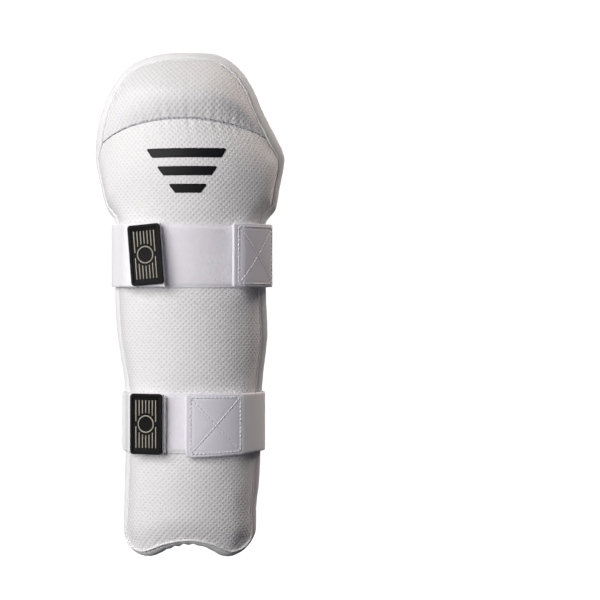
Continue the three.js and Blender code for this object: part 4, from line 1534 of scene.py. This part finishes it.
# %% [markdown]
# ## Finish: moulded rubber
# The labels are moulded from soft black rubber with a satin skin. Their raised lines are filled with a warm
# grey rubber, which is how such labels get a second colour without paint.

# %% Moulded rubber
def moulded_rubber(name, codes, roughness):
    material = new_material(name)
    grain = fine_noise(material, object_place(material), 0.5 * MM, detail=2)
    shade = blend_colours(material, grain, colour(codes[0]), colour(codes[1]))
    bump = add(material, "ShaderNodeBump", {"Height": grain, "Strength": 0.25, "Distance": 0.08 * MM})
    return surface(
        material,
        {
            "Base Color": shade,
            "Roughness": roughness,
            "IOR": 1.52,
            "Specular IOR Level": 0.1,
            "Normal": bump.outputs[0],
        },
    )


rubber_material = moulded_rubber("black_rubber", ("#080809", "#0F0F10"), 0.5)
grey_rubber_material = moulded_rubber("grey_rubber", ("#AFAA9E", "#BEB9AC"), 0.55)

# %% [markdown]
# ## The labels
# A label is a plate with rounded corners and a raised border. Inside lie upright ribs, broken by a plain
# ring in the middle. It is modelled lying flat: a cube is scaled, its corners are bevelled, its top is
# inset and pushed down, and the ribs and the ring are added on the sunk field. Then it is set up on the
# strap's free end.

# %% Model the plate
LABEL_THICKNESS = 2.4 * MM
LABEL_FIELD_DEPTH = 0.8 * MM
LABEL_CORNER = 2.6 * MM
LABEL_BORDER = 2.4 * MM
LABEL_MARGIN = 2.1 * LABEL_BORDER
RIB_COUNT = 7
RIB_WIDTH = 0.75 * MM
RIB_THICKNESS = 1.7 * LABEL_FIELD_DEPTH
RING_RADIUS = 7.2 * MM
RING_THICKNESS = 1.4 * RIB_WIDTH
RING_SINK = 0.6 * LABEL_FIELD_DEPTH
PLATE_EDGE = 0.35 * MM
LINE_EDGE = 0.12 * MM
LABEL_LIFT = 0.2 * MM


def select_faces(piece, test):
    """Selects the faces that pass a test, in edit mode."""
    mesh = bmesh.from_edit_mesh(piece.data)
    bpy.ops.mesh.select_all(action="DESELECT")
    for face in mesh.faces:
        face.select_set(test(face))
    bmesh.update_edit_mesh(piece.data)


def label_plate():
    bpy.ops.object.select_all(action="DESELECT")
    bpy.ops.mesh.primitive_cube_add(size=1, location=(0, 0, LABEL_THICKNESS / 2))
    plate = bpy.context.object
    plate.scale = (LABEL_WIDTH, LABEL_HEIGHT, LABEL_THICKNESS)
    bpy.ops.object.transform_apply(location=True, rotation=True, scale=True)
    bpy.ops.object.mode_set(mode="EDIT")
    bpy.ops.mesh.select_mode(type="EDGE")
    bpy.ops.mesh.select_all(action="DESELECT")
    mesh = bmesh.from_edit_mesh(plate.data)
    for edge in mesh.edges:
        upright = abs(edge.verts[0].co.z - edge.verts[1].co.z) > LABEL_THICKNESS / 2
        edge.select_set(upright)
    bmesh.update_edit_mesh(plate.data)
    bpy.ops.mesh.bevel(offset=LABEL_CORNER, segments=6)
    select_faces(plate, lambda face: face.normal.z > 0.9)
    bpy.ops.mesh.inset(thickness=LABEL_BORDER)
    bpy.ops.mesh.extrude_region_move(TRANSFORM_OT_translate={"value": (0, 0, -LABEL_FIELD_DEPTH)})
    bpy.ops.object.mode_set(mode="OBJECT")
    return plate


# %% Model the ribs and the ring
def label_rib(x, low, high):
    bpy.ops.object.select_all(action="DESELECT")
    place = (x, (low + high) / 2, LABEL_THICKNESS - LABEL_FIELD_DEPTH)
    bpy.ops.mesh.primitive_cube_add(size=1, location=place)
    rib = bpy.context.object
    rib.scale = (RIB_WIDTH, high - low, RIB_THICKNESS)
    bpy.ops.object.transform_apply(location=True, rotation=True, scale=True)
    return rib


def label_ring():
    bpy.ops.object.select_all(action="DESELECT")
    bpy.ops.mesh.primitive_torus_add(
        major_segments=48,
        minor_segments=8,
        major_radius=RING_RADIUS - RIB_WIDTH,
        minor_radius=RING_THICKNESS / 2,
        location=(0, 0, LABEL_THICKNESS - RING_SINK),
    )
    ring = bpy.context.object
    bpy.ops.object.transform_apply(location=True, rotation=True, scale=True)
    return ring


def label_lines():
    field_width = LABEL_WIDTH - 2 * LABEL_MARGIN
    field_height = LABEL_HEIGHT / 2 - LABEL_MARGIN
    clear = RING_RADIUS + 2 * RIB_WIDTH
    ribs = []
    for x in np.linspace(-field_width / 2, field_width / 2, RIB_COUNT):
        gap = math.sqrt(max(clear**2 - x**2, 0)) if abs(x) < clear else 0.0
        for sign in (-1, 1):
            ribs.append(label_rib(x, *sorted((sign * gap, sign * field_height))))
    return ribs + [label_ring()]


# %% Set a label on its strap
def join_pieces(pieces, name):
    pick(*pieces)
    bpy.ops.object.join()
    joined = bpy.context.object
    joined.name = joined.data.name = name
    return joined


def label_frame(strap):
    """Where a label lies on the free end: along the strap, upwards and out."""
    at = strap.length - LABEL_WIDTH / 2
    out = Vector(strap.outward(np.array(at)))
    ahead = Vector((-out.y, out.x, 0))
    lift = STRAP_THICKNESS / 2 + LABEL_LIFT
    middle = Vector(strap.place(np.array(at), np.array(strap.width / 2), np.array(lift)))
    turn = Matrix.Rotation(LABEL_SKEW[strap.side], 4, "Z")
    return Matrix.Translation(middle) @ Matrix((ahead, (0, 0, 1), out)).transposed().to_4x4() @ turn


def finish_label(piece, strap, width):
    add_modifier(piece, "BEVEL", width=width, segments=3, limit_method="ANGLE", angle_limit=math.pi / 5)
    piece.data.transform(label_frame(strap))
    smooth_shading(piece, math.pi / 5)


for strap in straps:
    plate = label_plate()
    plate.name = plate.data.name = f"{strap.side}_label_plate"
    finish_label(plate, strap, PLATE_EDGE)
    on_guard(plate, rubber_material, [f"{strap.side}_label"])
    lines = join_pieces(label_lines(), f"{strap.side}_label_lines")
    finish_label(lines, strap, LINE_EDGE)
    on_guard(lines, grey_rubber_material)

# %% [markdown]
# ## Floor, backdrop and light
# The guard is shown as it hangs on a leg, held up, inside an overexposed white studio. The studio is a
# round floor with a wall all round, joined by a soft curve. It glows, so that it stays white from every
# side, and it takes no part in lighting the guard. A large soft lamp stands to the left and a little above,
# which leaves the left side nearly white and lets the right side fall to a warm grey. Two weak lamps behind
# on the right and one on the left pick out the rim, and a weak sky, a little stronger from below as over a
# white floor, fills the shadows.

# %% Build the studio
FLOOR_HEIGHT = -1.2
STUDIO_RADIUS = 6.0
STUDIO_WALL = 14.0
STUDIO_CURVE = 1.5


def overexposed_white():
    material = new_material("overexposed_white")
    glow = add(material, "ShaderNodeEmission", {"Color": colour("#FFFFFF"), "Strength": 1.1})
    add(material, "ShaderNodeOutputMaterial", {"Surface": glow.outputs[0]})
    return material


def make_studio():
    bpy.ops.object.select_all(action="DESELECT")
    bpy.ops.mesh.primitive_circle_add(
        vertices=96, radius=STUDIO_RADIUS, fill_type="NGON", location=(0, 0, FLOOR_HEIGHT)
    )
    studio = bpy.context.object
    studio.name = "white_studio"
    bpy.ops.object.transform_apply(location=True, rotation=True, scale=True)
    bpy.ops.object.mode_set(mode="EDIT")
    bpy.ops.mesh.select_mode(type="EDGE")
    bpy.ops.mesh.select_all(action="SELECT")
    bpy.ops.mesh.region_to_loop()
    bpy.ops.mesh.extrude_edges_move(TRANSFORM_OT_translate={"value": (0, 0, STUDIO_WALL)})
    bpy.ops.mesh.select_all(action="DESELECT")
    mesh = bmesh.from_edit_mesh(studio.data)
    for edge in mesh.edges:
        edge.select_set(all(vertex.co.z < FLOOR_HEIGHT + 0.01 for vertex in edge.verts))
    bmesh.update_edit_mesh(studio.data)
    bpy.ops.mesh.bevel(offset=STUDIO_CURVE, segments=16)
    bpy.ops.mesh.select_all(action="SELECT")
    bpy.ops.mesh.flip_normals()
    bpy.ops.object.mode_set(mode="OBJECT")
    smooth_shading(studio, math.pi / 3)
    studio.data.materials.append(overexposed_white())
    studio.visible_diffuse = False
    studio.visible_glossy = False
    studio.visible_shadow = False
    return studio


make_studio()


# %% Place the lamps
def make_lamp(name, place, target, size, power, code):
    data = bpy.data.lights.new(name, "AREA")
    data.shape = "RECTANGLE"
    data.size, data.size_y = size
    data.energy = power
    data.color = colour(code)[:3]
    lamp = bpy.data.objects.new(name, data)
    lamp.location = place
    lamp.rotation_euler = (Vector(target) - Vector(place)).to_track_quat("-Z", "Y").to_euler()
    bpy.context.scene.collection.objects.link(lamp)
    return lamp


def make_sky(code, low, high):
    """A sky whose strength changes evenly from straight below to straight above."""
    sky = bpy.data.worlds.new("studio_sky")
    sky.use_nodes = True
    sky.node_tree.nodes.clear()
    direction = add(sky, "ShaderNodeTexCoord").outputs["Generated"]
    upward = add(sky, "ShaderNodeSeparateXYZ", {0: direction}).outputs[2]
    ends = {"From Min": -1.0, "From Max": 1.0, "To Min": low, "To Max": high}
    strength = add(sky, "ShaderNodeMapRange", {"Value": upward, **ends})
    background = add(sky, "ShaderNodeBackground", {"Color": colour(code), "Strength": strength.outputs[0]})
    add(sky, "ShaderNodeOutputWorld", {"Surface": background.outputs[0]})
    bpy.context.scene.world = sky


make_lamp("key_lamp", (-0.83, -1.05, 0.46), (0, 0, 0.05), (1.2, 1.2), 22.6, "#FFFDFB")
make_lamp("high_lamp", (1.0, 0.45, 1.15), (0, 0, 0.1), (0.6, 0.9), 11, "#FFF2E8")
make_lamp("edge_lamp", (0.65, 0.8, 0.8), (0, 0, 0.1), (0.6, 0.9), 5.5, "#FFF2E8")
make_lamp("left_lamp", (-1.3, -0.2, 0.1), (0, 0, 0.1), (0.6, 0.9), 2, "#FFFDFB")
make_sky("#F8F3FF", 0.07, 0.04)
bpy.context.scene.view_settings.view_transform = "Standard"
print("lamps placed")
